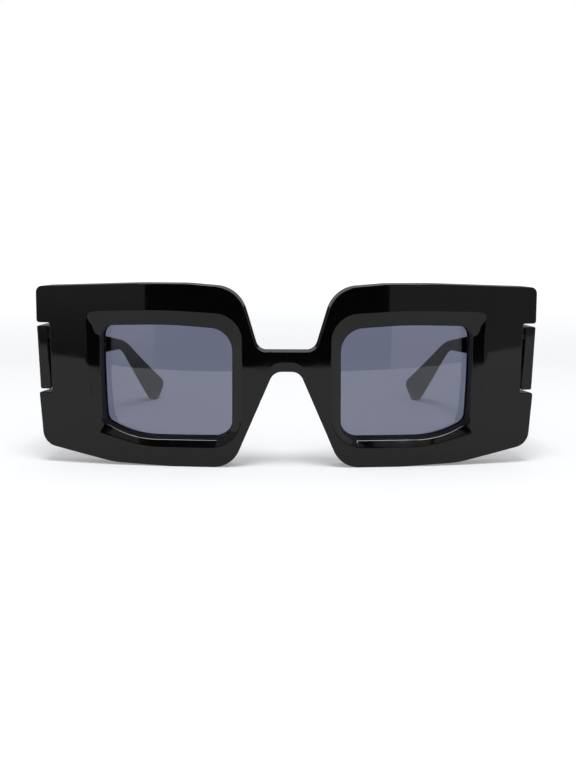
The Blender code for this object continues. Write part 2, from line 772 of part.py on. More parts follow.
def build_nose_pads(workshop):
    """Build the pads bonded beside the nose."""
    outline = nose_pad_outline()
    base = FRONT_THICKNESS + BOND_GAP
    mesh = loft_mesh(
        "nose_pad",
        [
            (base, outline),
            (base + PAD_DEPTH - PAD_CROWN_DEPTH, outline),
            (base + PAD_DEPTH, grown(outline, -PAD_CROWN_INSET)),
        ],
    )
    workshop.add_pair("nose_pad", bent_front(mesh), workshop.acetate)


def knuckle_bore(name):
    """Return the cutter for a hole through all the knuckles."""
    return cylinder_mesh(
        name,
        SCREW_RADIUS + HINGE_GAP,
        BARREL_BOTTOM_HEIGHT - CUT_OVERRUN,
        BARREL_BOTTOM_HEIGHT + BARREL_HEIGHT + CUT_OVERRUN,
    )


def build_leaf(workshop, name, plate, webs, spans):
    """Return one hinge leaf: its plate, and a web and a barrel at each knuckle."""
    solids = []
    for (bottom, top), web in zip(spans, webs):
        solids.append(box_mesh("web", *web))
        solids.append(cylinder_mesh("knuckle", KNUCKLE_RADIUS, bottom, top))
    leaf = workshop.combined(box_mesh(name, *plate), solids, "UNION")
    return workshop.combined(leaf, [knuckle_bore("bore")])


def build_front_leaves(workshop, hinge):
    """Build the hinge leaves that are sunk in the back of the front."""
    bottom = BARREL_BOTTOM_HEIGHT - LEAF_MARGIN
    top = BARREL_BOTTOM_HEIGHT + BARREL_HEIGHT + LEAF_MARGIN
    outer = NOTCH_WALL_ARC - FRONT_LEAF_WALL - hinge.arc
    face = LEAF_PROUD - HINGE_REACH
    plate = ((outer - FRONT_LEAF_WIDTH, face - LEAF_THICKNESS, bottom), (outer, face, top))
    spans = hinge.knuckle_spans(0)
    webs = [
        (
            (-FRONT_WEB_WIDTH, HINGE_GAP - HINGE_REACH, low),
            (WEB_OVERLAP, WEB_OVERLAP, high),
        )
        for low, high in spans
    ]
    mesh = build_leaf(workshop, "front_hinge", plate, webs, spans)
    workshop.add_pair("front_hinge", hinge.placed(mesh, hinge.front_angle), workshop.hinge)


def build_temple_leaves(workshop, hinge, pivots):
    """Build the hinge leaves that are sunk in the inner face of each temple."""
    bottom = BARREL_BOTTOM_HEIGHT - LEAF_MARGIN
    top = BARREL_BOTTOM_HEIGHT + BARREL_HEIGHT + LEAF_MARGIN
    face = hinge.standoff - LEAF_PROUD
    plate = (
        (face, -TEMPLE_LEAF_LEAD, bottom),
        (face + LEAF_THICKNESS, TEMPLE_LEAF_LENGTH - TEMPLE_LEAF_LEAD, top),
    )
    spans = hinge.knuckle_spans(1)
    webs = [
        (
            (-WEB_OVERLAP, -WEB_OVERLAP, low),
            (face + LEAF_THICKNESS / 2, TEMPLE_WEB_WIDTH, high),
        )
        for low, high in spans
    ]
    mesh = build_leaf(workshop, "temple_hinge", plate, webs, spans)
    placed = hinge.placed(mesh, hinge.temple_angle)
    workshop.add_pair("temple_hinge", placed, workshop.hinge, pivots)


def build_screws(workshop, hinge):
    """Build the slotted pivot screws, each with its head on the top knuckle."""
    barrel_top = BARREL_BOTTOM_HEIGHT + BARREL_HEIGHT
    seat = barrel_top + HINGE_GAP
    head_top = seat + SCREW_HEAD_HEIGHT
    shank = cylinder_mesh("hinge_screw", SCREW_RADIUS, BARREL_BOTTOM_HEIGHT, head_top)
    head = cylinder_mesh("screw_head", SCREW_HEAD_RADIUS, seat, head_top)
    slot = box_mesh(
        "screw_slot",
        (-CUT_OVERRUN, -SCREW_SLOT_WIDTH / 2, head_top - SCREW_SLOT_DEPTH),
        (CUT_OVERRUN, SCREW_SLOT_WIDTH / 2, head_top + CUT_OVERRUN),
    )
    mesh = workshop.combined(workshop.combined(head, [shank], "UNION"), [slot])
    workshop.add_pair("hinge_screw", hinge.placed(mesh, hinge.front_angle), workshop.screw)


def leaf_pocket_end(hinge):
    """Return how far along the temple its leaf pocket reaches."""
    return hinge.along + TEMPLE_LEAF_LENGTH - TEMPLE_LEAF_LEAD + HINGE_GAP


def trimmed_butt(mesh):
    """Trim the temple's front end along the face of the front."""
    level = front_place(Vector((NOTCH_WALL_ARC, BUTT_SETBACK, 0)))
    angle = NOTCH_WALL_ARC / FRONT_FACE_RADIUS
    forward = Vector((math.sin(angle), -math.cos(angle), 0))
    shape = bmesh.new()
    shape.from_mesh(mesh)
    geometry = shape.verts[:] + shape.edges[:] + shape.faces[:]
    cut = bmesh.ops.bisect_plane(
        shape,
        geom=geometry,
        dist=WELD_DISTANCE,
        plane_co=level,
        plane_no=forward,
        clear_outer=True,
    )
    rim = [item for item in cut["geom_cut"] if isinstance(item, bmesh.types.BMEdge)]
    bmesh.ops.contextual_create(shape, geom=rim)
    bmesh.ops.recalc_face_normals(shape, faces=shape.faces)
    shape.to_mesh(mesh)
    shape.free()
    return mesh


def build_temples(workshop, hinge, pivots):
    """Build the acetate temples with a leaf pocket and a wire channel open into it."""
    sideways = Matrix(((0, 0, 1, 0), (1, 0, 0, 0), (0, 1, 0, 0), (0, 0, 0, 1)))
    blank = plate_mesh(
        "temple", temple_outline(), TEMPLE_THICKNESS, TEMPLE_EDGE_ROUNDING, sideways
    )
    pocket_end = leaf_pocket_end(hinge)
    inner_face = -TEMPLE_THICKNESS / 2
    pocket = box_mesh(
        "temple_leaf_pocket",
        (
            inner_face - CUT_OVERRUN,
            hinge.along - TEMPLE_LEAF_LEAD - HINGE_GAP,
            BARREL_BOTTOM_HEIGHT - LEAF_MARGIN - HINGE_GAP,
        ),
        (
            inner_face - LEAF_PROUD + LEAF_THICKNESS + TEMPLE_LEAF_SEAT_GAP,
            pocket_end,
            BARREL_BOTTOM_HEIGHT + BARREL_HEIGHT + LEAF_MARGIN + HINGE_GAP,
        ),
    )
    channel_start = pocket_end - HINGE_GAP
    channel = tube_mesh("wire_channel", wire_path(channel_start), WIRE_RADIUS + WIRE_CLEARANCE)
    placed = trimmed_butt(bent_temple(blank))
    mesh = workshop.combined(placed, [bent_temple(pocket), bent_temple(channel)])
    workshop.add_pair("temple", mesh, workshop.acetate, pivots)


def build_core_wires(workshop, hinge, pivots):
    """Build the wire that stiffens each temple."""
    start = leaf_pocket_end(hinge) + WIRE_CLEARANCE
    path = wire_path(start)
    path[-1] = path[-1] + (path[-2] - path[-1]).normalized() * WIRE_CLEARANCE
    mesh = bent_temple(tube_mesh("core_wire", path, WIRE_RADIUS))
    workshop.add_pair("core_wire", mesh, workshop.wire, pivots)


def add_pivots(workshop, hinge):
    """Add an empty on each hinge axis to carry the pieces that fold."""
    pivots = {}
    for side, sign in SIDE_SIGNS.items():
        pivot = bpy.data.objects.new(f"temple_pivot_{side}", None)
        pivot.location = (hinge.point.x * sign, hinge.point.y, BUTT_MIDDLE_HEIGHT)
        workshop.parts.objects.link(pivot)
        pivots[side] = pivot
    return pivots


def centre_on_origin(workshop):
    """Move the whole pair so that its box stands centred over the origin."""
    bpy.context.view_layer.update()
    depths = []
    for part in workshop.parts.objects:
        if part.type == "MESH":
            depths += [(part.matrix_world @ vertex.co).y for vertex in part.data.vertices]
    middle = (min(depths) + max(depths)) / 2
    for part in workshop.parts.objects:
        if not part.parent:
            part.location.y -= middle


def main():
    """Build every piece."""
    clear_scene()
    workshop = Workshop()
    hinge = Hinge()
    pivots = add_pivots(workshop, hinge)
    build_front(workshop)
    build_lenses(workshop)
    build_nose_pads(workshop)
    build_front_leaves(workshop, hinge)
    build_temple_leaves(workshop, hinge, pivots)
    build_screws(workshop, hinge)
    build_temples(workshop, hinge, pivots)
    build_core_wires(workshop, hinge, pivots)
    centre_on_origin(workshop)


main()
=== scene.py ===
"""Looks of the rectangular sunglasses: black acetate, smoke lenses and nickel silver hinges.

The acetate pieces and the lenses are drawn flat, in millimetres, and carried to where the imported
parts are: the front with x along its curved face, each temple with y along its length.
"""

import logging
import math
from collections.abc import Callable, Sequence
from dataclasses import dataclass, field
from enum import Enum

import bmesh
import bpy
import numpy as np
from mathutils import Matrix, Vector, geometry


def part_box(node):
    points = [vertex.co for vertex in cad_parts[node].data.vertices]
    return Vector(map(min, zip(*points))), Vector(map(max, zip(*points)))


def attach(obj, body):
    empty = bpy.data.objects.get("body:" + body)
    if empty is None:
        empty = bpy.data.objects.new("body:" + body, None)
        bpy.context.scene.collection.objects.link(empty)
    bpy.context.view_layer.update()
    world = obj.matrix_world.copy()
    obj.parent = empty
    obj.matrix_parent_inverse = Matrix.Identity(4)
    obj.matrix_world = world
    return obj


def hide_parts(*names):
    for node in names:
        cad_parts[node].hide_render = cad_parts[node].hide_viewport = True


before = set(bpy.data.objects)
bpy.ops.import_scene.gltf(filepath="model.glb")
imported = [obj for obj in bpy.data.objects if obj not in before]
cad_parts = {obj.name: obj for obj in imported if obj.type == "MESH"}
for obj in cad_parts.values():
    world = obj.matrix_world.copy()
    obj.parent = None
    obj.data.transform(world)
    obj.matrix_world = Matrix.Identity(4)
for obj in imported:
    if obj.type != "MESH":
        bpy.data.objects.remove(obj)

LOG = logging.getLogger("sunglasses")

MM = 0.001  # a millimetre, in metres
NUDGE = 0.1  # how far a point is moved, in mm, to find how its surface bends there
WELD = 0.0005  # points nearer to each other than this, in mm, are one point
CORNER_STEP = math.radians(5)  # the most that a rounded corner turns in one chord
LEAST_CHORDS = 3  # in a corner that turns very little
LEAST_SQUARE = 0.5  # keeps a sharp corner's point from moving over twice the distance asked
FILL_PITCH = 2.0  # mm between the points that fill a face
FILL_SLACK = WELD / 10  # how far a point may be off, in mm, when a face is filled
CREASE_STEPS = 4  # bands in the rounding of an edge
FACET_STEPS = 3  # bands from the top of a lens opening's facet to its foot
MILLED_SLOT = 1  # where the milled finish stands among the front's materials

WHITE = (1.0, 1.0, 1.0, 1.0)
SRGB_FULL = 255
SRGB_KNEE = 0.04045  # below this the sRGB curve is straight
SRGB_SLOPE = 12.92
SRGB_OFFSET = 0.055
SRGB_POWER = 2.4

Spot = tuple[float, float]
Corner = tuple[float, float, float]
Outline = list[Vector]
Ring = list[int]
Place = Callable[[Vector], Vector]
Surface = Callable[[Vector], tuple[Vector, Vector]]


class Side(Enum):
    """A side of the sunglasses, as seen by someone who looks at the front."""

    RIGHT = 1
    LEFT = -1

    @property
    def word(self) -> str:
        """The side's name as the nodes carry it."""
        return self.name.lower()

    def seen(self, outline: Outline) -> Outline:
        """Return a right side outline, or its mirror image for the left."""
        return [Vector((point.x * self.value, point.y)) for point in outline]


class LevelAxis(Enum):
    """The axis that a flat plan's levels are counted along."""

    ACROSS = 0
    DEPTH = 1


# Outlines


def clamped(share: float) -> float:
    """Return a share kept between 0 and 1."""
    return min(1.0, max(0.0, share))


def following(points: Outline) -> Outline:
    """Return, for each point of a closed outline, the one after it."""
    return points[1:] + points[:1]


def headings(starts: list[Vector], ends: list[Vector]) -> list[Vector]:
    """Return the unit vectors from starts to ends."""
    return [(end - start).normalized() for start, end in zip(starts, ends)]


def corner_arc(
    before: Vector, corner: Vector, after: Vector, radius: float, steps: int | None
) -> Outline:
    """Round a corner between two straight runs.

    Args:
        before: A point on the run before the corner.
        corner: The corner itself.
        after: A point on the run after the corner.
        radius: The arc's radius.
        steps: How many chords the arc has, or None for as many as its turn needs.

    Returns:
        The points of the arc.
    """
    to_before = (before - corner).normalized()
    to_after = (after - corner).normalized()
    opening = to_before.angle(to_after)
    turn = math.pi - opening
    steps = steps or max(LEAST_CHORDS, math.ceil(turn / CORNER_STEP))
    reach = radius / math.tan(opening / 2)
    centre = corner + (to_before + to_after).normalized() * radius / math.sin(opening / 2)
    start = corner + to_before * reach - centre
    sign = 1 if to_before.cross(to_after) < 0 else -1
    return [
        centre + Matrix.Rotation(sign * turn * step / steps, 2) @ start
        for step in range(steps + 1)
    ]


def rounded_run(
    corners: Sequence[Corner], is_closed: bool = True, steps: Sequence[int] | None = None
) -> Outline:
    """Return the outline through corners given as (across, up, radius).

    Args:
        corners: The corners in order.
        is_closed: Whether the last run leads back to the first corner.
        steps: The chords of each corner's arc, where their number matters.

    Returns:
        The outline's points.
    """
    spots = [Vector(corner[:2]) for corner in corners]
    points = []
    for index, (spot, after) in enumerate(zip(spots, following(spots))):
        if not is_closed and index in (0, len(spots) - 1):
            points.append(spot)
            continue
        count = steps[index] if steps else None
        points += corner_arc(spots[index - 1], spot, after, corners[index][2], count)
    return points


def subdivided(points: Outline, arc_steps: Sequence[int], run_steps: int) -> Outline:
    """Cut the straight runs between the arcs of a closed outline into even steps.

    Args:
        points: The outline.
        arc_steps: How many chords each arc has.
        run_steps: How many parts each run is cut into.

    Returns:
        The finer outline.
    """
    result = []
    first = 0
    for count in arc_steps:
        last = first + count
        after = points[(last + 1) % len(points)]
        result += points[first : last + 1]
        result += [points[last].lerp(after, step / run_steps) for step in range(1, run_steps)]
        first = last + 1
    return result


def cut_runs(points: Outline) -> Outline:
    """Cut a closed outline's long runs to the fill pitch, and drop points that coincide.

    Args:
        points: The outline.

    Returns:
        The finer outline.
    """
    result = []
    for point, after in zip(points, following(points)):
        length = (after - point).length
        if length < WELD:
            continue
        parts = max(1, math.ceil(length / FILL_PITCH))
        result += [point.lerp(after, part / parts) for part in range(parts)]
    return result


def evenly_rounded(spots: Sequence[Spot], radius: float) -> Outline:
    """Return the closed outline through corners that share one radius."""
    return cut_runs(rounded_run([(*spot, radius) for spot in spots]))


def rounded_box(low: Spot, high: Spot, radius: float) -> Outline:
    """Return the outline of a box between two opposite corners, with its corners rounded."""
    return evenly_rounded([low, (high[0], low[1]), high, (low[0], high[1])], radius)


def outward(points: Outline) -> Outline:
    """Find which way is out all along an outline.

    Args:
        points: The closed outline.

    Returns:
        The unit normals, which point away from its inside.
    """
    area = sum(point.cross(after) for point, after in zip(points, following(points)))
    sign = 1 if area > 0 else -1
    normals = []
    for index, (point, after) in enumerate(zip(points, following(points))):
        arriving = (point - points[index - 1]).normalized()
        along = (arriving + (after - point).normalized()).normalized()
        normals.append(Vector((along.y, -along.x)) * sign)
    return normals


def grown(points: Outline, distance: float | list[float]) -> Outline:
    """Move a closed outline outwards.

    Args:
        points: The outline.
        distance: How far its sides move, everywhere or at each point.

    Returns:
        The moved outline.
    """
    distances = distance if isinstance(distance, list) else [distance] * len(points)
    moved = []
    for point, after, normal, reach in zip(points, following(points), outward(points), distances):
        square = max(LEAST_SQUARE, abs(normal.cross((after - point).normalized())))
        moved.append(point + normal * reach / square)
    return moved


def is_inside(spots: np.ndarray, borders: list[np.ndarray]) -> np.ndarray:
    """Say which spots an odd number of closed borders holds.

    Args:
        spots: The spots, one row of (across, up) each.
        borders: The corners of each border, in the same form.

    Returns:
        A truth value for each spot.
    """
    inside = np.zeros(len(spots), bool)
    across, up = spots[:, :1], spots[:, 1:]
    for border in borders:
        start, end = border, np.roll(border, -1, axis=0)
        crosses = (start[:, 1] > up) != (end[:, 1] > up)
        rise = np.where(end[:, 1] == start[:, 1], 1.0, end[:, 1] - start[:, 1])
        meets = start[:, 0] + (up - start[:, 1]) * (end[:, 0] - start[:, 0]) / rise
        inside ^= (np.sum(crosses & (meets > across), axis=1) % 2).astype(bool)
    return inside


# Surfaces


def carried(place: Place, point: Vector, normal: Vector) -> tuple[Vector, Vector]:
    """Carry a point of a flat plan, and the normal there, to the finished shape.

    Args:
        place: Carries a point of the plan.
        point: The point on the plan.
        normal: The plan's normal there.

    Returns:
        The finished point and its normal.
    """
    rows = []
    for axis in range(3):
        step = Vector((0, 0, 0))
        step[axis] = NUDGE
        rows.append((place(point + step) - place(point - step)) / (2 * NUDGE))
    return place(point), (Matrix(rows).inverted() @ normal).normalized()


@dataclass
class Skin:
    """A closed surface in the making: points, their true normals and the faces between.

    A ring is a closed line of its points. A wall stands round an outline, along the level axis,
    and a flat face lies square to that axis.
    """

    axis: LevelAxis
    points: list[Vector] = field(default_factory=list)
    normals: list[Vector] = field(default_factory=list)
    faces: list[tuple[int, ...]] = field(default_factory=list)
    milled: list[range] = field(default_factory=list)

    def lift(self, point: Vector, level: float) -> Vector:
        """Return the point in space that a plan's point has at a level."""
        is_depth = self.axis is LevelAxis.DEPTH
        return Vector((point.x, level, point.y) if is_depth else (level, point.x, point.y))

    def plan(self, index: int) -> Spot:
        """Return where a point in space lies on the plan."""
        point = self.points[index]
        return (point[1 - self.axis.value], point.z)

    def raised(self, outline: Outline, level: float) -> list[Vector]:
        """Return an outline's points at a level."""
        return [self.lift(point, level) for point in outline]

    def walls(self, outline: Outline, sign: int) -> list[Vector]:
        """Return the normals of the wall round an outline, outwards or inwards."""
        return [self.lift(normal, 0) * sign for normal in outward(outline)]

    def flats(self, outline: Outline, sign: int) -> list[Vector]:
        """Return the normals of a flat face, one for each point of an outline."""
        return [self.lift(Vector((0, 0)), sign)] * len(outline)

    def ring(self, points: list[Vector], normals: list[Vector]) -> Ring:
        """Add a ring of points with their normals.

        Args:
            points: The points in space.
            normals: The surface's normal at each.

        Returns:
            The points' indices.
        """
        first = len(self.points)
        self.points += points
        self.normals += normals
        return list(range(first, len(self.points)))

    def ring_on(self, surface: Surface, outline: Outline) -> Ring:
        """Add the ring that an outline makes on a surface."""
        points, normals = zip(*(surface(spot) for spot in outline))
        return self.ring(list(points), list(normals))

    def join(self, *rings: Ring) -> None:
        """Add the faces between each ring and the next.

        Args:
            rings: Rings with as many points each.
        """
        for near, far in zip(rings, rings[1:]):
            for index in range(len(near)):
                self.faces.append((near[index - 1], near[index], far[index], far[index - 1]))

    def span(self, near: Ring, far: Ring, steps: int) -> None:
        """Join two rings with a ruled surface in several bands.

        Args:
            near: The first ring.
            far: The last ring.
            steps: How many bands lie between them.
        """
        rings = [near]
        pairs = list(zip(near, far))
        for step in range(1, steps):
            share = step / steps
            points = [self.points[a].lerp(self.points[b], share) for a, b in pairs]
            normals = [self.normals[a].lerp(self.normals[b], share).normalized() for a, b in pairs]
            rings.append(self.ring(points, normals))
        self.join(*rings, far)

    def crease(
        self,
        starts: list[Vector],
        corners: list[Vector],
        ends: list[Vector],
        before: list[Vector],
        after: list[Vector],
    ) -> tuple[Ring, Ring]:
        """Round a crease between two surfaces.

        Args:
            starts: Where the rounding leaves the first surface.
            corners: Where the two surfaces would meet.
            ends: Where the rounding joins the second surface.
            before: The first surface's normals.
            after: The second surface's normals.

        Returns:
            The first and the last ring of the rounding.
        """
        rings = []
        for step in range(CREASE_STEPS + 1):
            share = step / CREASE_STEPS
            rest = 1 - share
            points = [
                start * rest**2 + corner * 2 * share * rest + end * share**2
                for start, corner, end in zip(starts, corners, ends)
            ]
            normals = [
                (a * rest * (corner - start).length + b * share * (end - corner).length)
                .normalized()
                for a, b, start, corner, end in zip(before, after, starts, corners, ends)
            ]
            rings.append(self.ring(points, normals))
        self.join(*rings)
        return rings[0], rings[-1]

    def rounded_edge(
        self,
        outline: Outline,
        level: float,
        into: int,
        inset: float | list[float],
        drop: float,
        wall: int = 1,
    ) -> tuple[Ring, Ring]:
        """Round the edge between a flat face and the wall round an outline.

        Args:
            outline: The wall's outline.
            level: The flat face's level.
            into: +1 or -1, the way from the face into the solid.
            inset: How far the rounding reaches across the face, everywhere or at each point.
            drop: How far it reaches down the wall.
            wall: +1 for an outer wall, -1 for the wall of a hole.

        Returns:
            The ring on the face and the ring on the wall.
        """
        insets = inset if isinstance(inset, list) else [inset] * len(outline)
        return self.crease(
            self.raised(grown(outline, [-reach * wall for reach in insets]), level),
            self.raised(outline, level),
            self.raised(outline, level + drop * into),
            self.flats(outline, -into),
            self.walls(outline, wall),
        )

    def slab(
        self,
        outline: Outline,
        levels: tuple[float, float],
        low: tuple[float | list[float], float],
        high: tuple[float, float],
    ) -> tuple[Ring, Ring]:
        """Add the wall round a slab, with its edges rounded.

        Args:
            outline: The slab's outline.
            levels: The levels of its two flat faces.
            low: The inset and the drop of the rounding at the first face.
            high: The same at the second face.

        Returns:
            The rings on the two faces.
        """
        low_face, low_wall = self.rounded_edge(outline, levels[0], 1, *low)
        high_face, high_wall = self.rounded_edge(outline, levels[1], -1, *high)
        self.join(low_wall, high_wall)
        return low_face, high_face

    def pocket(self, outline: Outline, mouth: float, floor: float, rounding: float) -> Ring:
        """Sink a pocket with a flat floor.

        Args:
            outline: The pocket's outline.
            mouth: The level of the face that it is sunk in.
            floor: The level of its floor.
            rounding: How far its edges are rounded.

        Returns:
            The ring at its mouth.
        """
        into = 1 if floor > mouth else -1
        face, wall = self.rounded_edge(outline, mouth, into, rounding, rounding, wall=-1)
        foot, flat = self.crease(
            self.raised(outline, floor - rounding * into),
            self.raised(outline, floor),
            self.raised(grown(outline, -rounding), floor),
            self.walls(outline, -1),
            self.flats(outline, -into),
        )
        self.join(wall, foot)
        self.cap(floor, -into, flat)
        return face

    def cap(self, level: float, sign: int, *rings: Ring) -> None:
        """Fill a flat face whose normal points up the levels, or down them."""
        facing = self.lift(Vector((0, 0)), sign)
        self.fill(lambda spot: (self.lift(spot, level), facing), *rings)

    def fill(self, surface: Surface, *rings: Ring) -> None:
        """Fill what lies between closed rings with triangles fine enough to bend.

        Args:
            surface: Gives the point in space and the normal at a point of the plan.
            rings: The outer ring and any rings of holes in it.
        """
        indices = [index for ring in rings for index in ring]
        borders = [np.array([self.plan(index) for index in ring]) for ring in rings]
        edge = np.concatenate(borders)
        low, high = edge.min(axis=0), edge.max(axis=0)
        steps = [np.arange(low[k] + FILL_PITCH / 2, high[k], FILL_PITCH) for k in range(2)]
        grid = np.stack(np.meshgrid(*steps), axis=-1).reshape(-1, 2)
        if len(grid):
            nearest = np.linalg.norm(grid[:, None] - edge[None], axis=2).min(axis=1)
            grid = grid[is_inside(grid, borders) & (nearest > FILL_PITCH / 2)]
        for spot in grid:
            point, normal = surface(Vector(spot))
            indices += self.ring([point], [normal])
        links = []
        for border in borders:
            first, count = len(links), len(border)
            links += [(first + i, first + (i + 1) % count) for i in range(count)]
        spots = [Vector(spot) for spot in (*edge, *grid)]
        _, _, faces, sources, _, _ = geometry.delaunay_2d_cdt(spots, links, [], 0, FILL_SLACK)
        corners = np.array([[spots[sources[v][0]][:] for v in face] for face in faces])
        kept = is_inside(corners.mean(axis=1), borders)
        for face, is_kept in zip(faces, kept):
            if is_kept:
                self.faces.append(tuple(indices[sources[v][0]] for v in face))

    def piece(self, name: str, place: Place, side: Side = Side.RIGHT) -> bpy.types.Object:
        """Make the object, on its own side, with the surface's true normals.

        Args:
            name: The object's name.
            place: Carries a point of the plan to the finished right side shape.
            side: LEFT for the mirror image.

        Returns:
            The new object.
        """
        places, normals = [], []
        for point, normal in zip(self.points, self.normals):
            spot, facing = carried(place, point, normal)
            places.append((spot.x * side.value * MM, spot.y * MM, spot.z * MM))
            normals.append((facing.x * side.value, facing.y, facing.z))
        mesh = bpy.data.meshes.new(name)
        mesh.from_pydata(places, [], self.faces)
        shape = bmesh.new()
        shape.from_mesh(mesh)
        bmesh.ops.recalc_face_normals(shape, faces=shape.faces)
        shape.to_mesh(mesh)
        shape.free()
        for faces in self.milled:
            for index in faces:
                mesh.polygons[index].material_index = MILLED_SLOT
        mesh.shade_smooth()
        mesh.normals_split_custom_set_from_vertices(normals)
        return linked(name, mesh)


def linked(name: str, data: bpy.types.ID) -> bpy.types.Object:
    """Add an object to the scene.

    Args:
        name: The object's name.
        data: Its mesh, light or camera.

    Returns:
        The new object.
    """
    thing = bpy.data.objects.new(name, data)
    bpy.context.scene.collection.objects.link(thing)
    return thing


# Finishes


def linear(hex_colour: str) -> tuple[float, float, float, float]:
    """Turn an sRGB hex colour into Blender's linear one.

    Args:
        hex_colour: The colour as #rrggbb.

    Returns:
        Red, green, blue and a full alpha.
    """
    channels = []
    for start in (1, 3, 5):
        value = int(hex_colour[start : start + 2], 16) / SRGB_FULL
        if value <= SRGB_KNEE:
            channels.append(value / SRGB_SLOPE)
        else:
            channels.append(((value + SRGB_OFFSET) / (1 + SRGB_OFFSET)) ** SRGB_POWER)
    return (*channels, 1.0)


def per_metre(millimetres: float) -> float:
    """Return the texture scale whose pattern repeats about once in a length."""
    return 1 / (millimetres * MM)


def add_node(
    tree: bpy.types.NodeTree,
    kind: str,
    inputs: dict[str | int, object] | None = None,
    **settings: object,
) -> bpy.types.Node:
    """Add a node with its settings and links.

    Args:
        tree: The node tree.
        kind: The node's type name.
        inputs: What goes to each socket: a value, a socket, or a node for its first output.
        settings: The node's own settings.

    Returns:
        The new node.
    """
    node = tree.nodes.new(kind)
    for name, setting in settings.items():
        setattr(node, name, setting)
    for name, source in (inputs or {}).items():
        if isinstance(source, bpy.types.Node):
            source = source.outputs[0]
        if isinstance(source, bpy.types.NodeSocket):
            tree.links.new(source, node.inputs[name])
        else:
            node.inputs[name].default_value = source
    return node


def new_tree(name: str) -> tuple[bpy.types.Material, bpy.types.NodeTree]:
    """Make a material with no nodes in it yet.

    Args:
        name: The material's name.

    Returns:
        The material and its node tree.
    """
    material = bpy.data.materials.new(name)
    material.use_nodes = True
    material.node_tree.nodes.clear()
    return material, material.node_tree


@dataclass(frozen=True)
class BlackAcetate:
    """Cellulose acetate, milled, tumbled and buffed to a deep gloss.

    To the eye it is black, with reflections that are sharp but not quite still, because hand
    buffing leaves the surface a little wavy, and with a few specks of dust on it.
    """

    colour: str = "#060607"
    dust_colour: str = "#55565a"
    ior: float = 1.48
    specular_level: float = 0.30
    roughness: float = 0.03
    worn_roughness: float = 0.07
    wave_length: float = 11.0  # mm between the waves that the buffing wheel leaves
    wave_height: float = 0.004
    wave_detail: float = 1.0
    haze_length: float = 5.0  # mm across a patch of finer scratches
    haze_detail: float = 4.0
    haze_break: float = 0.65
    haze_start: float = 0.40
    haze_end: float = 0.75
    dust_spacing: float = 13.0  # mm between specks, which are 0.2 mm across
    dust_radius: float = 0.10

    def material(self) -> bpy.types.Material:
        """Make the buffed acetate.

        Returns:
            The material, with its waves, haze and dust.
        """
        material, tree = new_tree("black_acetate_tumbled")
        place = add_node(tree, "ShaderNodeTexCoord").outputs["Object"]
        wave = add_node(tree, "ShaderNodeTexNoise", {
            "Vector": place, "Scale": per_metre(self.wave_length), "Detail": self.wave_detail,
        })
        bump = add_node(tree, "ShaderNodeBump", {
            "Height": wave, "Distance": self.wave_height * MM,
        })
        haze = add_node(tree, "ShaderNodeTexNoise", {
            "Vector": place, "Scale": per_metre(self.haze_length),
            "Detail": self.haze_detail, "Roughness": self.haze_break,
        })
        rough = add_node(tree, "ShaderNodeMapRange", {
            "Value": haze, "From Min": self.haze_start, "From Max": self.haze_end,
            "To Min": self.roughness, "To Max": self.worn_roughness,
        })
        cells = add_node(tree, "ShaderNodeTexVoronoi", {
            "Vector": place, "Scale": per_metre(self.dust_spacing),
        })
        dust = add_node(tree, "ShaderNodeMapRange", {
            "Value": cells.outputs["Distance"],
            "From Max": self.dust_radius / self.dust_spacing, "To Min": 1.0, "To Max": 0.0,
        })
        colour = add_node(tree, "ShaderNodeValToRGB", {"Fac": dust})
        for stop, tone in zip(colour.color_ramp.elements, (self.colour, self.dust_colour)):
            stop.color = linear(tone)
        shader = add_node(tree, "ShaderNodeBsdfPrincipled", {
            "Base Color": colour, "IOR": self.ior, "Specular IOR Level": self.specular_level,
            "Roughness": rough, "Normal": bump,
        })
        add_node(tree, "ShaderNodeOutputMaterial", {"Surface": shader})
        return material


@dataclass(frozen=True)
class MilledAcetate:
    """The same acetate where a cutter shaped it and no wheel reached it.

    It is a rough, unbuffed black, drawn a touch deeper and with a low specular level as painted
    shade inside the lens groove, with only a dull shine along the cutter's lines. Those are finer
    than the camera can see, so they are drawn coarse enough to show.
    """

    # A touch deeper than the buffed black: painted shade inside the groove.
    colour: str = "#050506"
    ior: float = 1.48
    specular_level: float = 0.08
    roughness: float = 0.42
    line_pitch: float = 0.35  # mm from one line of the cutter to the next
    line_depth: float = 0.002
    line_unevenness: float = 1.0

    def material(self) -> bpy.types.Material:
        """Make the milled acetate.

        Returns:
            The material, with the cutter's lines.
        """
        material, tree = new_tree("black_acetate_milled")
        place = add_node(tree, "ShaderNodeTexCoord").outputs["Object"]
        lines = add_node(tree, "ShaderNodeTexWave", {
            "Vector": place, "Scale": per_metre(self.line_pitch),
            "Distortion": self.line_unevenness,
        }, bands_direction="Y")
        bump = add_node(tree, "ShaderNodeBump", {
            "Height": lines.outputs["Fac"], "Distance": self.line_depth * MM,
        })
        shader = add_node(tree, "ShaderNodeBsdfPrincipled", {
            "Base Color": linear(self.colour), "IOR": self.ior,
            "Specular IOR Level": self.specular_level, "Roughness": self.roughness,
            "Normal": bump,
        })
        add_node(tree, "ShaderNodeOutputMaterial", {"Surface": shader})
        return material


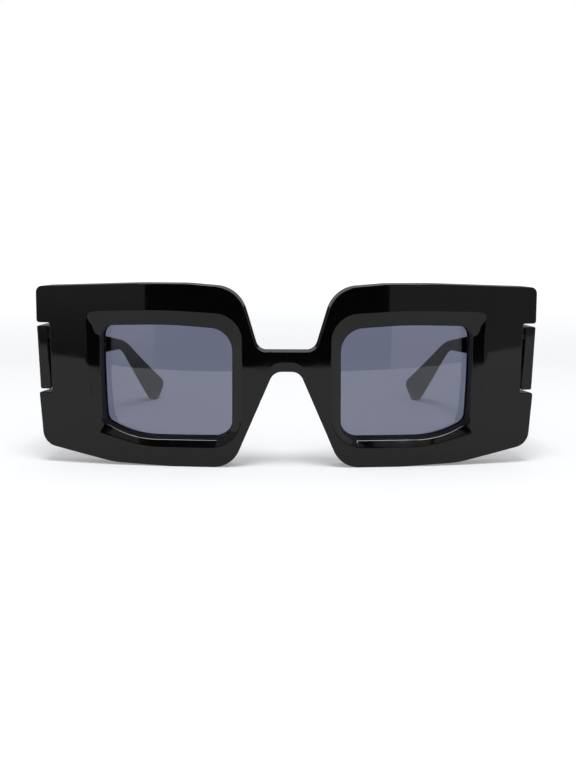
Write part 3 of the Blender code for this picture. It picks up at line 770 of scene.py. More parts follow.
@dataclass(frozen=True)
class SmokeLens:
    """Polycarbonate, dyed smoke blue and moulded to a polish.

    To the eye it is a clear cool grey that darkens what lies behind it, and it mirrors the
    floor and the studio more strongly than the acetate does.
    """

    tint: str = "#6d7184"
    ior: float = 1.60
    roughness: float = 0.004
    smear_roughness: float = 0.018
    smear_length: float = 16.0  # mm across a patch that a cloth has wiped
    smear_detail: float = 3.0
    smear_start: float = 0.45
    smear_end: float = 0.8

    def material(self) -> bpy.types.Material:
        """Make the tinted lens.

        Returns:
            The material, with its faint smears.
        """
        material, tree = new_tree("smoke_polycarbonate_polished")
        place = add_node(tree, "ShaderNodeTexCoord").outputs["Object"]
        smear = add_node(tree, "ShaderNodeTexNoise", {
            "Vector": place, "Scale": per_metre(self.smear_length), "Detail": self.smear_detail,
        })
        rough = add_node(tree, "ShaderNodeMapRange", {
            "Value": smear, "From Min": self.smear_start, "From Max": self.smear_end,
            "To Min": self.roughness, "To Max": self.smear_roughness,
        })
        shader = add_node(tree, "ShaderNodeBsdfPrincipled", {
            "Base Color": linear(self.tint), "IOR": self.ior, "Transmission Weight": 1.0,
            "Roughness": rough,
        })
        add_node(tree, "ShaderNodeOutputMaterial", {"Surface": shader})
        return material


@dataclass(frozen=True)
class TumbledMetal:
    """Nickel silver or steel, stamped, turned or drawn, then tumbled in grit and left bright.

    To the eye it has a soft shine, broken by fine dents in no direction. The real dents are
    finer, and are drawn coarse enough to show.
    """

    name: str
    colour: str
    dull_colour: str
    roughness: float = 0.22
    dull_roughness: float = 0.40
    grit: float = 0.35  # mm across a dent
    dent: float = 0.003
    grain_detail: float = 3.0
    grain_start: float = 0.3
    grain_end: float = 0.7

    def material(self) -> bpy.types.Material:
        """Make the metal.

        Returns:
            The material, with its dents.
        """
        material, tree = new_tree(self.name)
        place = add_node(tree, "ShaderNodeTexCoord").outputs["Object"]
        grain = add_node(tree, "ShaderNodeTexNoise", {
            "Vector": place, "Scale": per_metre(self.grit), "Detail": self.grain_detail,
        })
        colour = add_node(tree, "ShaderNodeValToRGB", {"Fac": grain})
        for stop, tone in zip(colour.color_ramp.elements, (self.dull_colour, self.colour)):
            stop.color = linear(tone)
        rough = add_node(tree, "ShaderNodeMapRange", {
            "Value": grain, "From Min": self.grain_start, "From Max": self.grain_end,
            "To Min": self.dull_roughness, "To Max": self.roughness,
        })
        bump = add_node(tree, "ShaderNodeBump", {"Height": grain, "Distance": self.dent * MM})
        shader = add_node(tree, "ShaderNodeBsdfPrincipled", {
            "Base Color": colour, "Metallic": 1.0, "Roughness": rough, "Normal": bump,
        })
        add_node(tree, "ShaderNodeOutputMaterial", {"Surface": shader})
        return material


# Sub-assemblies


@dataclass
class Front:
    """The acetate front, drawn flat with x along its face and its levels counted in depth.

    Corners are given as (distance from the middle, height, radius). The shares of a lens outline
    are those of its box's width and height, and a radius there is a share of the height.
    """

    finish: bpy.types.Material
    milled_finish: bpy.types.Material
    front_y: float
    half_arc: float = 75.945
    height: float = 54.5
    thickness: float = 7.8
    face_radius: float = 300.0
    edge_rounding: float = 0.28
    bridge_under_inset: float = 3.0
    bridge_under_fade: float = 6.0

    bridge_top: float = 34.7
    bridge_top_half_width: float = 8.6
    bridge_top_radius: float = 3.3
    bridge_thickness: float = 5.95
    brow_inner: Corner = (14.3, 53.3, 10.0)
    brow_crest_inner: Corner = (29.8, 54.5, 40.0)
    brow_crest_outer: Corner = (44.1, 54.5, 200.0)
    brow_outer_drop: float = 1.2
    brow_outer_radius: float = 2.0

    notch_depth: float = 4.2
    notch_top: float = 42.4
    notch_bottom: float = 21.47
    notch_slant: float = 0.4
    notch_radius: float = 0.4
    prong_radius: float = 0.8
    lower_prong_inset: float = 0.4

    lower_corner: Corner = (74.35, 5.67, 4.9)
    lower_turn: Corner = (52.0, 0.8, 30.0)
    rest_outer: Corner = (34.2, 0.0, 41.0)
    rest_inner: Corner = (16.3, 0.0, 8.3)
    nose_arch_half_width: float = 3.84
    nose_arch_radius: float = 3.67

    rim_low: Spot = (16.19, 8.1)
    rim_high: Spot = (55.9, 42.3)
    seat_rise: float = 0.45
    seat_reach: float = 0.4
    recess_low: Spot = (13.19, 6.0)
    recess_high: Spot = (59.9, 46.6)
    rim_shares: tuple[Corner, ...] = (
        (0.0, 0.960, 0.206),
        (0.491, 1.0, 4.0),
        (1.0, 0.984, 0.102),
        (1.0, 0.46, 8.0),
        (0.983, 0.131, 0.099),
        (0.77, 0.0, 0.891),
        (0.005, 0.0, 0.164),
    )
    recess_shares: tuple[Corner, ...] = (
        (0.0, 0.967, 0.204),
        (0.50, 1.0, 4.0),
        (1.0, 0.982, 0.062),
        (1.0, 0.36, 1.0),
        (0.918, 0.090, 0.025),
        (0.625, 0.0, 0.883),
        (0.0, 0.0, 0.235),
    )
    opening_arc_steps: tuple[int, ...] = (20, 8, 14, 20, 30, 20, 18)
    opening_run_steps: int = 10
    facet_depth: float = 2.1
    facet_tilt: float = math.radians(44)
    outer_facet_tilt: float = math.radians(13.5)
    outer_facet_rise: float = 0.03
    depth_smoothing: int = 12
    ridge_rounding: float = 0.22
    outer_ridge_rounding: float = 0.8
    facet_reach: float = 12.0
    outer_from: float = 0.3
    outer_fade: float = 0.5
    rim_rounding: float = 0.50

    lens_front: float = 5.1
    lens_back: float = 6.9
    groove_depth: float = 0.8
    rear_rounding: float = 0.25

    leaf_setback: float = 1.2
    leaf_gap: float = 0.2
    pocket_width: float = 6.9
    pocket_low: float = 25.95
    pocket_high: float = 37.75
    pocket_floor: float = 6.7
    pocket_radius: float = 0.4
    pocket_rounding: float = 0.1

    @property
    def notch_wall(self) -> float:
        """How far along the face the notch's wall lies."""
        return self.half_arc - self.notch_depth

    @property
    def nose_arch(self) -> float:
        """The height of the nose opening's top."""
        return self.bridge_top - self.bridge_thickness

    @property
    def groove_middle(self) -> float:
        """How deep the bottom of the lens's groove lies."""
        return (self.lens_front + self.lens_back) / 2

    def outline(self) -> Outline:
        """Draw the flat front.

        Returns:
            Its closed outline.
        """
        corners = [
            (0, self.bridge_top, 0),
            (self.bridge_top_half_width, self.bridge_top, self.bridge_top_radius),
            self.brow_inner,
            self.brow_crest_inner,
            self.brow_crest_outer,
            (self.half_arc, self.height - self.brow_outer_drop, self.brow_outer_radius),
            (self.half_arc, self.notch_top, self.prong_radius),
            (self.notch_wall, self.notch_top, self.notch_radius),
            (self.notch_wall - self.notch_slant, self.notch_bottom, self.notch_radius),
            (self.half_arc - self.lower_prong_inset, self.notch_bottom, self.prong_radius),
            self.lower_corner,
            self.lower_turn,
            self.rest_outer,
            self.rest_inner,
            (self.nose_arch_half_width, self.nose_arch, self.nose_arch_radius),
            (0, self.nose_arch, 0),
        ]
        # The two points on the middle line belong to both halves, and stand in the list once.
        right_half = rounded_run(corners, is_closed=False)
        left_half = Side.LEFT.seen(right_half[-2:0:-1])
        return cut_runs(right_half + left_half)

    def boxed(self, shares: tuple[Corner, ...], low: Spot, high: Spot) -> Outline:
        """Draw a lens outline from corners in shares of its box.

        Args:
            shares: The corners.
            low: The box's lower inner corner.
            high: The box's upper outer corner.

        Returns:
            The outline, with as many points whatever the shares are.
        """
        width, height = high[0] - low[0], high[1] - low[1]
        corners = [(low[0] + width * x, low[1] + height * z, height * r) for x, z, r in shares]
        outline = rounded_run(corners, steps=self.opening_arc_steps)
        return subdivided(outline, self.opening_arc_steps, self.opening_run_steps)

    def rim(self) -> Outline:
        """Return the right lens opening's outline at the rim edge."""
        return self.boxed(self.rim_shares, self.rim_low, self.rim_high)

    def seat(self) -> Outline:
        """Draw the right lens opening where the lens sits, behind the rim edge.

        Returns:
            Its outline.
        """
        low = (self.rim_low[0], self.rim_low[1] + self.seat_rise)
        high = (self.rim_high[0] + self.seat_reach, self.rim_high[1])
        return self.boxed(self.rim_shares, low, high)

    def recess(self) -> Outline:
        """Return the outline where the right lens opening's facets leave the face."""
        return self.boxed(self.recess_shares, self.recess_low, self.recess_high)

    def place(self, point: Vector) -> Vector:
        """Find where a point of the flat front lies on the bent one.

        Args:
            point: The point, as (along the face, depth, height).

        Returns:
            Its place, in millimetres.
        """
        angle = point.x / self.face_radius
        radius = self.face_radius - point.y
        depth = self.face_radius - radius * math.cos(angle)
        return Vector((radius * math.sin(angle), self.front_y + depth, point.z))

    def build(self) -> None:
        """Build the front with its facets, grooves, notches and hinge pockets."""
        skin = Skin(LevelAxis.DEPTH)
        outline = self.outline()
        rounding = self.edge_rounding
        face, back = skin.slab(
            outline,
            (0, self.thickness),
            (self._edge_insets(outline), rounding),
            (rounding, rounding),
        )
        face_rings, back_rings = [face], [back]
        for side in Side:
            mouth, rear = self._opening(skin, side)
            face_rings.append(mouth)
            back_rings += [rear, self._pocket(skin, side)]
        skin.cap(0, -1, *face_rings)
        skin.cap(self.thickness, 1, *back_rings)
        piece = skin.piece("acetate_front", self.place)
        dress(piece, "front", "black_acetate", self.finish, "front")
        piece.data.materials.append(self.milled_finish)

    def _edge_insets(self, outline: Outline) -> list[float]:
        """Say how far the edge rounds over the face, most under the bridge.

        Args:
            outline: The front's outline.

        Returns:
            The inset at each of its points.
        """
        extra = self.bridge_under_inset - self.edge_rounding
        insets = []
        for point, normal in zip(outline, outward(outline)):
            is_bridge = abs(point.x) < self.brow_inner[0] and point.y < self.bridge_top
            share = clamped(-normal.y) if is_bridge else 0.0
            rise = clamped(1 - (self.nose_arch - point.y) / self.bridge_under_fade)
            insets.append(self.edge_rounding + extra * share * rise)
        return insets

    def _ruled_normals(self, skin: Skin, outline: Outline, slopes: list[Vector]) -> list[Vector]:
        """Find the normals, along an outline, of a surface that slopes down from it.

        Args:
            skin: The front's surface.
            outline: The outline of an opening.
            slopes: Which way the surface runs from each of its points.

        Returns:
            The normals, which look out of the acetate.
        """
        normals = []
        for inwards, slope in zip(skin.walls(outline, -1), slopes):
            along = Vector((-inwards.z, 0, inwards.x))
            normal = along.cross(slope).normalized()
            is_seen = normal.dot(inwards) - normal.y > 0
            normals.append(normal if is_seen else -normal)
        return normals

    def _feet(self, rim: Outline, recess: Outline) -> Outline:
        """Find where each rim point's outward normal meets the recess outline.

        Args:
            rim: The rim edge's outline.
            recess: The outline round the facets.

        Returns:
            The recess outline's points, one for each of the rim's.
        """
        feet = []
        for point, normal in zip(rim, outward(rim)):
            far = point + normal * self.facet_reach
            meets = [
                geometry.intersect_line_line_2d(point, far, recess[i - 1], recess[i])
                for i in range(len(recess))
            ]
            feet.append(min((m for m in meets if m), key=lambda m: (m - point).length))
        return feet

    def _outer_shares(self, recess: Outline) -> list[float]:
        """Say how far each point of the recess faces the side of the head.

        Args:
            recess: The outline round the facets.

        Returns:
            0 where it faces up, down or inwards, and 1 where it faces outwards.
        """
        outer = math.copysign(1, recess[0].x)
        return [
            clamped((normal.x * outer - self.outer_from) / self.outer_fade)
            for normal in outward(recess)
        ]

    def _ridge(self, recess: Outline) -> list[float]:
        """Return how far the ridge is rounded along the recess, most at its outer side."""
        extra = self.outer_ridge_rounding - self.ridge_rounding
        return [self.ridge_rounding + extra * share for share in self._outer_shares(recess)]

    def _facet_depths(self, recess: Outline, rim: Outline) -> list[float]:
        """Find how deep the facets are at the rim, least where the outer one's edge slants.

        Args:
            recess: The outline round the facets.
            rim: The rim edge's outline, point for point.

        Returns:
            The depth at each point, smoothed so that the facets meet softly.
        """
        depths = []
        for high, low, share, normal in zip(
            recess, rim, self._outer_shares(recess), outward(recess)
        ):
            width = (high - low).length
            slant = max(self.outer_facet_rise, -normal.y)
            tilt = min(self.outer_facet_tilt, math.asin(self.outer_facet_rise / slant))
            inner = min(self.facet_depth, width * math.tan(self.facet_tilt))
            depths.append(inner * (1 - share) + width * math.tan(tilt) * share)
        # Each pass takes the mean of a depth and its two neighbours.
        for _ in range(self.depth_smoothing):
            depths = [
                (depths[i - 1] + depth + depths[(i + 1) % len(depths)]) / 3
                for i, depth in enumerate(depths)
            ]
        return depths

    def _opening(self, skin: Skin, side: Side) -> tuple[Ring, Ring]:
        """Add a lens opening: its facets, its rim edge and the groove behind them.

        Args:
            skin: The front's surface.
            side: The opening's side.

        Returns:
            Its rings on the face and on the back.
        """
        rim = self.rim()
        recess = side.seen(self._feet(rim, self.recess()))
        rim = side.seen(rim)
        seat = side.seen(self.seat())
        depths = self._facet_depths(recess, rim)
        mouth = skin.raised(recess, 0)
        edge = [skin.lift(point, depth) for point, depth in zip(rim, depths)]
        bed = skin.raised(seat, self.lens_front)
        slopes, drops = headings(mouth, edge), headings(edge, bed)
        ridge = self._ridge(recess)
        lip_normals = self._ruled_normals(skin, rim, drops)
        face, facet_top = skin.crease(
            skin.raised(grown(recess, ridge), 0),
            mouth,
            [point + slope * reach for point, slope, reach in zip(mouth, slopes, ridge)],
            skin.flats(recess, -1),
            self._ruled_normals(skin, recess, slopes),
        )
        facet_foot, lip = skin.crease(
            [point - slope * self.rim_rounding for point, slope in zip(edge, slopes)],
            edge,
            [point + drop * self.rim_rounding for point, drop in zip(edge, drops)],
            self._ruled_normals(skin, rim, slopes),
            lip_normals,
        )
        skin.span(facet_top, facet_foot, FACET_STEPS)
        inwards = skin.walls(seat, -1)
        groove = grown(seat, self.groove_depth)
        before = skin.ring(bed, lip_normals)
        bottom = skin.ring(skin.raised(groove, self.groove_middle), inwards)
        behind = skin.ring(skin.raised(seat, self.lens_back), inwards)
        rounding = self.rear_rounding
        rear, rear_wall = skin.rounded_edge(seat, self.thickness, -1, rounding, rounding, wall=-1)
        first = len(skin.faces)
        skin.join(lip, before, bottom, behind)
        skin.milled.append(range(first, len(skin.faces)))
        skin.join(behind, rear_wall)
        return face, rear

    def _pocket(self, skin: Skin, side: Side) -> Ring:
        """Sink the pocket of a hinge leaf in the back.

        Args:
            skin: The front's surface.
            side: The hinge's side.

        Returns:
            The pocket's ring on the back.
        """
        outer = self.notch_wall - self.leaf_setback + self.leaf_gap
        low = (outer - self.pocket_width, self.pocket_low)
        outline = side.seen(rounded_box(low, (outer, self.pocket_high), self.pocket_radius))
        return skin.pocket(outline, self.thickness, self.pocket_floor, self.pocket_rounding)


@dataclass
class Lens:
    """A lens, more curved than the front that holds it, with a pointed edge in the groove."""

    front: Front
    finish: bpy.types.Material
    clearance: float = 0.02
    thickness: float = 1.8
    middle_depth: float = 4.7
    extra_radius_across: float = 392.0
    radius_up: float = 450.0

    def build(self, side: Side) -> None:
        """Build the lens of one side.

        Args:
            side: The lens's side.
        """
        skin = Skin(LevelAxis.DEPTH)
        seat = self.front.seat()
        face = grown(seat, -self.clearance)
        edge = grown(seat, self.front.groove_depth - self.clearance)
        near = self._surface(skin, self.middle_depth, -1)
        far = self._surface(skin, self.middle_depth + self.thickness, 1)
        front_ring = skin.ring_on(near, face)
        edge_ring = skin.ring(skin.raised(edge, self.front.groove_middle), skin.walls(edge, 1))
        back_ring = skin.ring_on(far, face)
        skin.join(front_ring, edge_ring, back_ring)
        skin.fill(near, front_ring)
        skin.fill(far, back_ring)
        piece = skin.piece(f"smoke_lens_{side.word}", self.front.place, side)
        dress(piece, "front", "smoke_lens", self.finish, f"lens_{side.word}")

    def _surface(self, skin: Skin, depth: float, sign: int) -> Surface:
        """Shape one face of the lens, whose edges lie deeper than its middle.

        Args:
            skin: The lens's surface.
            depth: How deep the face's middle lies.
            sign: -1 for the front face, +1 for the back one.

        Returns:
            A function that gives the point and the normal at a spot of the plan.
        """
        across = (self.front.rim_low[0] + self.front.rim_high[0]) / 2
        up = (self.front.rim_low[1] + self.front.rim_high[1]) / 2

        def surface(spot: Vector) -> tuple[Vector, Vector]:
            """Find where the face is.

            Args:
                spot: A spot of the plan.

            Returns:
                The point and the normal there.
            """
            x, z = spot.x - across, spot.y - up
            sag = x * x / (2 * self.extra_radius_across) + z * z / (2 * self.radius_up)
            slope = Vector((-x / self.extra_radius_across, 1, -z / self.radius_up))
            return skin.lift(spot, depth + sag), slope.normalized() * sign

        return surface


@dataclass
class NosePad:
    """An acetate pad bonded to the back of the front, beside the nose."""

    front: Front
    finish: bpy.types.Material
    bond_gap: float = 0.2
    inset: float = 0.6
    top_height: float = 24.5
    bottom_height: float = 8.0
    top_width: float = 3.8
    bottom_width: float = 2.2
    corner_radius: float = 0.9
    depth: float = 4.0
    crown_inset: float = 0.7
    crown_drop: float = 1.6
    base_rounding: float = 0.1

    def build(self, side: Side) -> None:
        """Build the pad of one side.

        Args:
            side: The pad's side.
        """
        skin = Skin(LevelAxis.DEPTH)
        base = self.front.thickness + self.bond_gap
        crown = base + self.depth
        foot, top = skin.slab(
            self._outline(),
            (base, crown),
            (self.base_rounding, self.base_rounding),
            (self.crown_inset, self.crown_drop),
        )
        skin.cap(base, -1, foot)
        skin.cap(crown, 1, top)
        piece = skin.piece(f"acetate_nose_pad_{side.word}", self.front.place, side)
        dress(piece, "front", "black_acetate", self.finish, f"nose_pad_{side.word}")

    def _outline(self) -> Outline:
        """Draw the pad along the nose opening's side.

        Returns:
            The pad's outline.
        """
        top = self._wall(self.top_height) + self.inset
        bottom = self._wall(self.bottom_height) + self.inset
        spots = [
            (top, self.top_height),
            (top + self.top_width, self.top_height),
            (bottom + self.bottom_width, self.bottom_height),
            (bottom, self.bottom_height),
        ]
        return evenly_rounded(spots, self.corner_radius)

    def _wall(self, height: float) -> float:
        """Find where the nose opening's side is.

        Args:
            height: A height above the floor.

        Returns:
            Its distance from the middle there.
        """
        low = self.front.rest_inner[0]
        share = height / self.front.nose_arch
        return low + (self.front.nose_arch_half_width - low) * share


@dataclass
class Temple:
    """A temple, drawn flat with y along its length and its levels counted across.

    A share is one of its length.
    """

    front: Front
    finish: bpy.types.Material
    length: float = 139.56
    thickness: float = 3.4
    heading: float = math.radians(1.7)
    bow_radius: float = 600.0
    lean: float = math.radians(2.2)
    rounding: float = 0.5
    setback: float = 0.2
    side_gap: float = 0.3
    top_gap: float = 1.0
    bottom_gap: float = 0.8
    butt_radius: float = 0.5
    butt_length: float = 4.0
    shoulder_drop: float = 0.4
    shoulder_share: float = 0.13
    shoulder_radius: float = 30.0
    waist: Corner = (64.9, 26.0, 80.0)
    bend_top: float = 27.5
    bend_top_share: float = 0.687
    bend_top_radius: float = 40.0
    bend_underside: float = 24.5
    bend_underside_share: float = 0.705
    bend_underside_radius: float = 20.0
    foot_share: float = 0.920
    foot_length: float = 2.2
    foot_radius: float = 1.6
    rear_height: float = 6.0
    rear_radius: float = 2.2
    pocket_start: float = 9.7
    pocket_end: float = 20.1
    pocket_floor: float = 1.3

    @property
    def butt_top(self) -> float:
        """The height of the butt's upper edge."""
        return self.front.notch_top - self.top_gap

    @property
    def butt_bottom(self) -> float:
        """The height of the butt's lower edge."""
        return self.front.notch_bottom + self.bottom_gap

    @property
    def butt_middle(self) -> float:
        """The height of the butt's middle, and of the hinge's."""
        return (self.butt_top + self.butt_bottom) / 2

    def outline(self) -> Outline:
        """Draw the temple from the side.

        Returns:
            Its outline, as (distance along it, height).
        """
        foot = self.length * self.foot_share
        underside = self.length * self.bend_underside_share
        shoulder = self.length * self.shoulder_share
        corners = [
            (0, self.butt_top, self.butt_radius),
            (0, self.butt_bottom, self.butt_radius),
            self.waist,
            (underside, self.bend_underside, self.bend_underside_radius),
            (foot, 0, self.foot_radius),
            (foot + self.foot_length, 0, self.foot_radius),
            (self.length, self.rear_height, self.rear_radius),
            (self.length * self.bend_top_share, self.bend_top, self.bend_top_radius),
            (shoulder, self.butt_top - self.shoulder_drop, self.shoulder_radius),
        ]
        return cut_runs(rounded_run(corners))

    def place(self, point: Vector) -> Vector:
        """Find where a point of the flat temple lies on the bowed one, on the right.

        Args:
            point: The point, as (across, along the temple, height).

        Returns:
            Its place, in millimetres.
        """
        face_angle = self.front.notch_wall / self.front.face_radius
        slant = math.tan(face_angle - self.heading) * (point.x + self.thickness / 2)
        fade = max(0.0, 1 - point.y / self.butt_length)
        angle = (point.y + slant * fade) / self.bow_radius
        radius = self.bow_radius + point.x
        bowed = Vector((radius * math.cos(angle) - self.bow_radius, radius * math.sin(angle), 0))
        turned = Matrix.Rotation(self.heading, 3, "Z") @ bowed
        lean = (point.z - self.butt_middle) * math.tan(self.lean)
        inner_edge = Vector((self.front.notch_wall + self.side_gap, self.setback, 0))
        across = Vector((math.cos(self.heading), math.sin(self.heading), 0))
        butt = self.front.place(inner_edge) + across * self.thickness / 2
        return butt + turned + Vector((lean, 0, point.z))

    def build(self, side: Side) -> None:
        """Build the temple of one side.

        Args:
            side: The temple's side.
        """
        skin = Skin(LevelAxis.ACROSS)
        half = self.thickness / 2
        rounding = (self.rounding, self.rounding)
        inner, outer = skin.slab(self.outline(), (-half, half), rounding, rounding)
        low = (self.pocket_start, self.front.pocket_low)
        high = (self.pocket_end, self.front.pocket_high)
        mouth = skin.pocket(
            rounded_box(low, high, self.front.pocket_radius),
            -half,
            self.pocket_floor - half,
            self.front.pocket_rounding,
        )
        skin.cap(-half, -1, inner, mouth)
        skin.cap(half, 1, outer)
        piece = skin.piece(f"acetate_temple_{side.word}", self.place, side)
        body = f"temple_{side.word}"
        dress(piece, body, "black_acetate", self.finish, body)


@dataclass
class Hinge:
    """A five-knuckle hinge: its two leaves and the screw that joins them."""

    leaf_finish: bpy.types.Material
    screw_finish: bpy.types.Material
    edge_rounding: float = 0.08
    edge_segments: int = 2
    edge_profile: float = 0.5
    crease_angle: float = math.radians(30)
    flat_angle: float = math.radians(0.5)

    def build(self, side: Side) -> None:
        """Build the leaves and the screw of one side.

        Args:
            side: The hinge's side.
        """
        word = side.word
        leaf, screw = ("nickel_silver", self.leaf_finish), ("screw_steel", self.screw_finish)
        for name, node, body, (slot, finish) in (
            (f"hinge_leaf_front_{word}", f"front_hinge_{word}", "front", leaf),
            (f"hinge_leaf_temple_{word}", f"temple_hinge_{word}", f"temple_{word}", leaf),
            (f"pivot_screw_{word}", f"hinge_screw_{word}", "front", screw),
        ):
            dress(self._eased(node, name), body, slot, finish, node)

    def _eased(self, node: str, name: str) -> bpy.types.Object:
        """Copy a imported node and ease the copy's edges, as tumbling leaves them.

        Args:
            node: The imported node.
            name: The copy's name.

        Returns:
            The copy.
        """
        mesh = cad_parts[node].data.copy()
        mesh.name = name
        mesh.materials.clear()
        shape = bmesh.new()
        shape.from_mesh(mesh)
        bmesh.ops.remove_doubles(shape, verts=shape.verts, dist=WELD * MM)
        bmesh.ops.dissolve_limit(
            shape, angle_limit=self.flat_angle, verts=shape.verts, edges=shape.edges
        )
        bmesh.ops.bevel(
            shape,
            geom=[e for e in shape.edges if e.calc_face_angle(0) > self.crease_angle],
            offset=self.edge_rounding * MM,
            segments=self.edge_segments,
            profile=self.edge_profile,
            affect="EDGES",
            clamp_overlap=True,
        )
        shape.to_mesh(mesh)
        shape.free()
        mesh.shade_smooth()
        mesh.set_sharp_from_angle(angle=self.crease_angle)
        return linked(name, mesh)


def dress(
    piece: bpy.types.Object, body: str, slot: str, finish: bpy.types.Material, node: str
) -> None:
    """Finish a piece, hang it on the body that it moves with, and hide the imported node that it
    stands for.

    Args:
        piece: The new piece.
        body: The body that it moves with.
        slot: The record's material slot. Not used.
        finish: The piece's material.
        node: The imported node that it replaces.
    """
    piece.data.materials.append(finish)
    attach(piece, body)
    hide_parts(node)
    LOG.info("built %s: %d faces", piece.name, len(piece.data.polygons))


# Studio


@dataclass
class Studio:
    """A white sheet, a soft lamp, and glowing cards that only glossy rays see, which paint the
    reflections.

    A card's section is given as (distance behind the front, height, bend radius), and the cards
    are turned a little about the middle of the front's face.
    """

    front_y: float
    floor_reach: float = 3000.0
    floor_colour: str = "#e4e5e8"
    floor_glow: float = 0.25
    far_floor_glow: float = 0.65
    near_reach: float = 250.0
    far_reach: float = 900.0
    world_light: float = 0.55
    camera_distance: float = 340.0
    camera_height: float = 72.16
    camera_yaw: float = math.radians(0.3)
    camera_heading: float = math.radians(0.37)
    camera_pitch: float = math.radians(7.862)
    camera_roll: float = math.radians(0.194)
    camera_lens: float = 54.656
    sensor_width: float = 36.0
    # The cards are painted reflections: glowing sheets that only glossy rays see, grey, dark or
    # bright.
    card_turn: float = math.radians(3.7)
    card_distance: float = 243.0
    card_height: float = 330.0
    card_overhang: float = 215.0
    card_reach: float = 900.0
    card_grey: float = 0.46
    gap_left: float = -124.5
    gap_right: float = 121.7
    gap_depth: float = 2.0
    overhead_height: float = 300.0
    overhead_left: float = -66.0
    overhead_inner: float = 77.0
    overhead_outer: float = 86.0
    overhead_start: float = 200.0
    shade_height: float = 35.0
    shade_foot: float = 0.41
    # The bank is a painted highlight: a bright glowing card, no lamp, seen only in the gloss.
    bank_height: float = 290.0
    bank_reach: float = 115.0
    bank_start: float = -43.5
    bank_end: float = -2.0
    bank_highlight_glow: float = 28.0
    rear_start: float = 90.0
    rear_distance: float = 330.0
    rear_radius: float = 40.0
    rear_step: float = 50.0
    rear_height: float = 170.0
    rear_reach: float = 450.0
    rear_dark: float = 0.02
    rear_grey: float = 0.20
    lamp_place: tuple[float, float, float] = (0.0, -0.32, 0.80)
    lamp_size: float = 0.35
    lamp_power: float = 3.72

    def build(self) -> None:
        """Build the floor, the world, the cards, the lamp and the camera."""
        self._floor()
        self._world()
        self._cards()
        self._lamp()
        self._camera()

    def _sheet(
        self,
        name: str,
        points: Sequence[Vector | Corner],
        faces: list[tuple[int, ...]],
        material: bpy.types.Material,
    ) -> bpy.types.Object:
        """Add a sheet that is part of the studio, not of the sunglasses.

        Args:
            name: The sheet's name.
            points: Its corners.
            faces: Its faces, by their corners.
            material: Its material.

        Returns:
            The sheet.
        """
        mesh = bpy.data.meshes.new(name)
        mesh.from_pydata(points, [], faces)
        mesh.materials.append(material)
        sheet = linked(name, mesh)
        return sheet

    def _floor(self) -> None:
        """Lay the white sheet that the sunglasses stand on, which glows more further away."""
        material, tree = new_tree("white_sheet")
        seen = self._seen(tree)
        place = add_node(tree, "ShaderNodeTexCoord").outputs["Object"]
        away = add_node(tree, "ShaderNodeVectorMath", {0: place}, operation="LENGTH")
        level = add_node(tree, "ShaderNodeMapRange", {
            "Value": away.outputs["Value"],
            "From Min": self.near_reach * MM, "From Max": self.far_reach * MM,
            "To Min": self.floor_glow, "To Max": self.far_floor_glow,
        })
        glow = add_node(tree, "ShaderNodeMath", {0: seen, 1: level}, operation="MULTIPLY")
        emission = add_node(tree, "ShaderNodeEmission", {"Strength": glow})
        paper = add_node(tree, "ShaderNodeBsdfDiffuse", {"Color": linear(self.floor_colour)})
        both = add_node(tree, "ShaderNodeAddShader", {0: emission, 1: paper})
        add_node(tree, "ShaderNodeOutputMaterial", {"Surface": both})
        reach = self.floor_reach * MM
        corners = [(x * reach, y * reach, 0) for x, y in ((-1, -1), (1, -1), (1, 1), (-1, 1))]
        self._sheet("floor_sheet", corners, [(0, 1, 2, 3)], material)

    def _seen(self, tree: bpy.types.NodeTree) -> bpy.types.Node:
        """Pick the rays that show the background itself, in view, in gloss or in glass.

        Args:
            tree: The node tree.

        Returns:
            A node that gives 1 for those rays and 0 for others.
        """
        rays = add_node(tree, "ShaderNodeLightPath").outputs
        first, second = rays["Is Camera Ray"], rays["Is Glossy Ray"]
        direct = add_node(tree, "ShaderNodeMath", {0: first, 1: second}, operation="MAXIMUM")
        through = rays["Is Transmission Ray"]
        return add_node(tree, "ShaderNodeMath", {0: direct, 1: through}, operation="MAXIMUM")

    def _world(self) -> None:
        """Make the world white where it is seen, and plainer where it only lights."""
        world = bpy.data.worlds.new("white_studio")
        world.use_nodes = True
        tree = world.node_tree
        tree.nodes.clear()
        strength = add_node(tree, "ShaderNodeMapRange", {
            "Value": self._seen(tree), "To Min": self.world_light, "To Max": 1.0,
        })
        sky = add_node(tree, "ShaderNodeBackground", {"Color": WHITE, "Strength": strength})
        add_node(tree, "ShaderNodeOutputWorld", {"Surface": sky})
        bpy.context.scene.world = world

    def _card(
        self,
        name: str,
        low: float,
        high: float,
        section: list[Corner],
        grey: float,
        foot: float = 1.0,
    ) -> None:
        """Stand a bent glowing card that only glossy rays see, as a painted reflection.

        Args:
            name: The card's name.
            low: Its left edge.
            high: Its right edge.
            section: Its section.
            grey: How bright it is.
            foot: What share of that brightness is left where it meets the floor.
        """
        material, tree = new_tree(name)
        place = add_node(tree, "ShaderNodeTexCoord").outputs["Object"]
        height = add_node(tree, "ShaderNodeSeparateXYZ", {0: place}).outputs["Z"]
        # Painted shade: the card darkens towards the floor, to foot times its brightness.
        fade = add_node(tree, "ShaderNodeMapRange", {
            "Value": height, "From Max": self.shade_height * MM,
            "To Min": grey * foot, "To Max": grey,
        })
        glow = add_node(tree, "ShaderNodeEmission", {"Strength": fade})
        add_node(tree, "ShaderNodeOutputMaterial", {"Surface": glow})
        turn = Matrix.Rotation(-self.card_turn, 3, "Z")
        middle = Vector((0, self.front_y, 0))
        points = [
            (turn @ Vector((across, along, up)) + middle) * MM
            for along, up in rounded_run(section, is_closed=False)
            for across in (low, high)
        ]
        faces = [(i, i + 1, i + 3, i + 2) for i in range(0, len(points) - 2, 2)]
        card = self._sheet(name, points, faces, material)
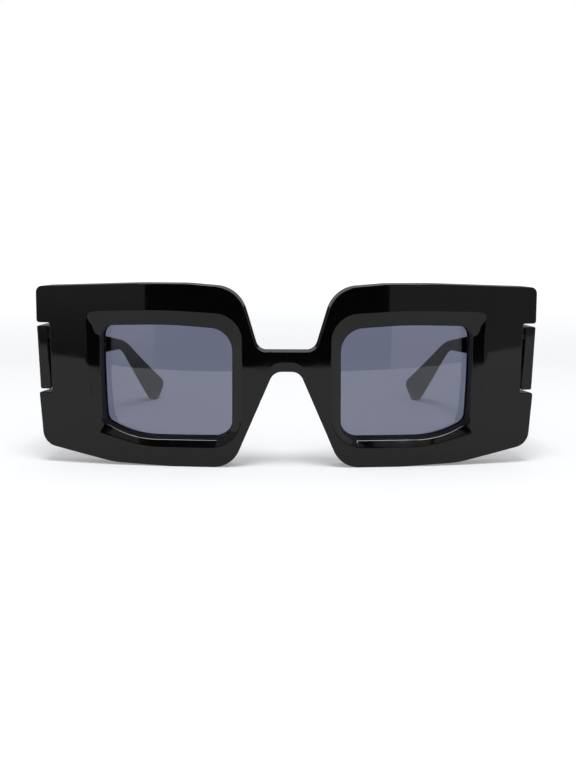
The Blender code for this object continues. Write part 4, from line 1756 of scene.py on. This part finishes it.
        # Only glossy rays see the card: it paints a reflection and lights nothing.
        card.visible_camera = False
        card.visible_diffuse = False
        card.visible_transmission = False
        card.visible_shadow = False

    def _front_section(self, nearer: float = 0.0) -> list[Corner]:
        """Return the section of the cards in front, which curve overhead."""
        foot, top = nearer - self.card_distance, self.card_height - nearer
        return [(foot, 0, 0), (foot, top, self.card_overhang), (foot + self.card_overhang, top, 0)]

    def _cards(self) -> None:
        """Stand the painted reflections: the grey cards, the dark gap that the camera looks
        through, the painted highlight bank and the rear flags.
        """
        nearer = self._front_section(self.gap_depth)
        above = self.overhead_height
        overhead = [
            (-self.overhead_start, above, 0),
            (self.card_overhang - self.card_distance, above, 0),
        ]
        bank = [(self.bank_start, self.bank_height, 0), (self.bank_end, self.bank_height, 0)]
        step = (self.rear_distance, self.rear_step, 0)
        low_rear = [
            (self.rear_start, self.gap_depth, 0),
            (self.rear_distance, self.gap_depth, self.rear_radius),
            step,
        ]
        high_rear = [step, (self.rear_distance, self.rear_height, 0)]
        reach, rear, grey = self.card_reach, self.rear_reach, self.card_grey
        for card in (
            ("left_card", -reach, self.gap_left, nearer, grey, self.shade_foot),
            ("right_card", self.gap_right, reach, nearer, grey),
            ("dark_gap", -reach, reach, self._front_section(), 0.0),
            ("overhead_middle", self.overhead_left, self.overhead_inner, overhead, grey),
            ("overhead_right", self.overhead_outer, self.gap_right, overhead, grey),
            ("painted_highlight_bank", -self.bank_reach, self.bank_reach, bank, self.bank_highlight_glow),
            ("rear_flag", -rear, rear, low_rear, self.rear_dark),
            ("rear_card", -rear, rear, high_rear, self.rear_grey),
        ):
            self._card(*card)

    def _lamp(self) -> None:
        """Hang the soft lamp over the sunglasses."""
        lamp = bpy.data.lights.new("soft_box_above", "AREA")
        lamp.size = self.lamp_size
        lamp.energy = self.lamp_power
        holder = linked("soft_box_above", lamp)
        holder.location = self.lamp_place
        holder.rotation_euler = (-Vector(self.lamp_place)).to_track_quat("-Z", "Y").to_euler()

    def _camera(self) -> None:
        """Set the camera where the photograph was taken from."""
        lens = bpy.data.cameras.new("camera")
        lens.sensor_fit = "AUTO"
        lens.sensor_width = self.sensor_width
        lens.lens = self.camera_lens
        camera = linked("camera", lens)
        camera.location = Vector((
            -self.camera_distance * math.sin(self.camera_yaw),
            self.front_y - self.camera_distance * math.cos(self.camera_yaw),
            self.camera_height,
        )) * MM
        turn = Matrix.Rotation(-self.camera_heading, 4, "Z")
        turn = turn @ Matrix.Rotation(math.pi / 2 - self.camera_pitch, 4, "X")
        turn = turn @ Matrix.Rotation(self.camera_roll, 4, "Z")
        camera.rotation_euler = turn.to_euler()
        bpy.context.scene.camera = camera


def finish_wires(finish: bpy.types.Material) -> None:
    """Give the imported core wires, which the acetate hides, their material.

    Args:
        finish: The material.
    """
    for side in Side:
        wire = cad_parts[f"core_wire_{side.word}"]
        wire.data.materials.clear()
        wire.data.materials.append(finish)
        LOG.info("finished %s", wire.name)


def main() -> None:
    """Build the sunglasses piece by piece and set up the studio."""
    logging.basicConfig(level=logging.INFO, format="%(name)s: %(message)s")
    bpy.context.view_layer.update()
    front_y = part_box("front")[0].y / MM
    acetate = BlackAcetate().material()
    milled = MilledAcetate().material()
    smoke = SmokeLens().material()
    nickel = TumbledMetal("nickel_silver_tumbled", "#cdc7b8", "#a49e90").material()
    steel = TumbledMetal(
        "screw_steel_turned", "#c4c5c9", "#8f9094", roughness=0.18, dull_roughness=0.34
    ).material()
    wire = TumbledMetal("nickel_silver_drawn", "#c2bcae", "#9a9486").material()

    front = Front(acetate, milled, front_y)
    front.build()
    for side in Side:
        Lens(front, smoke).build(side)
        NosePad(front, acetate).build(side)
        Temple(front, acetate).build(side)
        Hinge(nickel, steel).build(side)
    finish_wires(wire)

    Studio(front_y).build()
    view = bpy.context.scene.view_settings
    view.view_transform = "Standard"


if __name__ == "__main__":
    main()
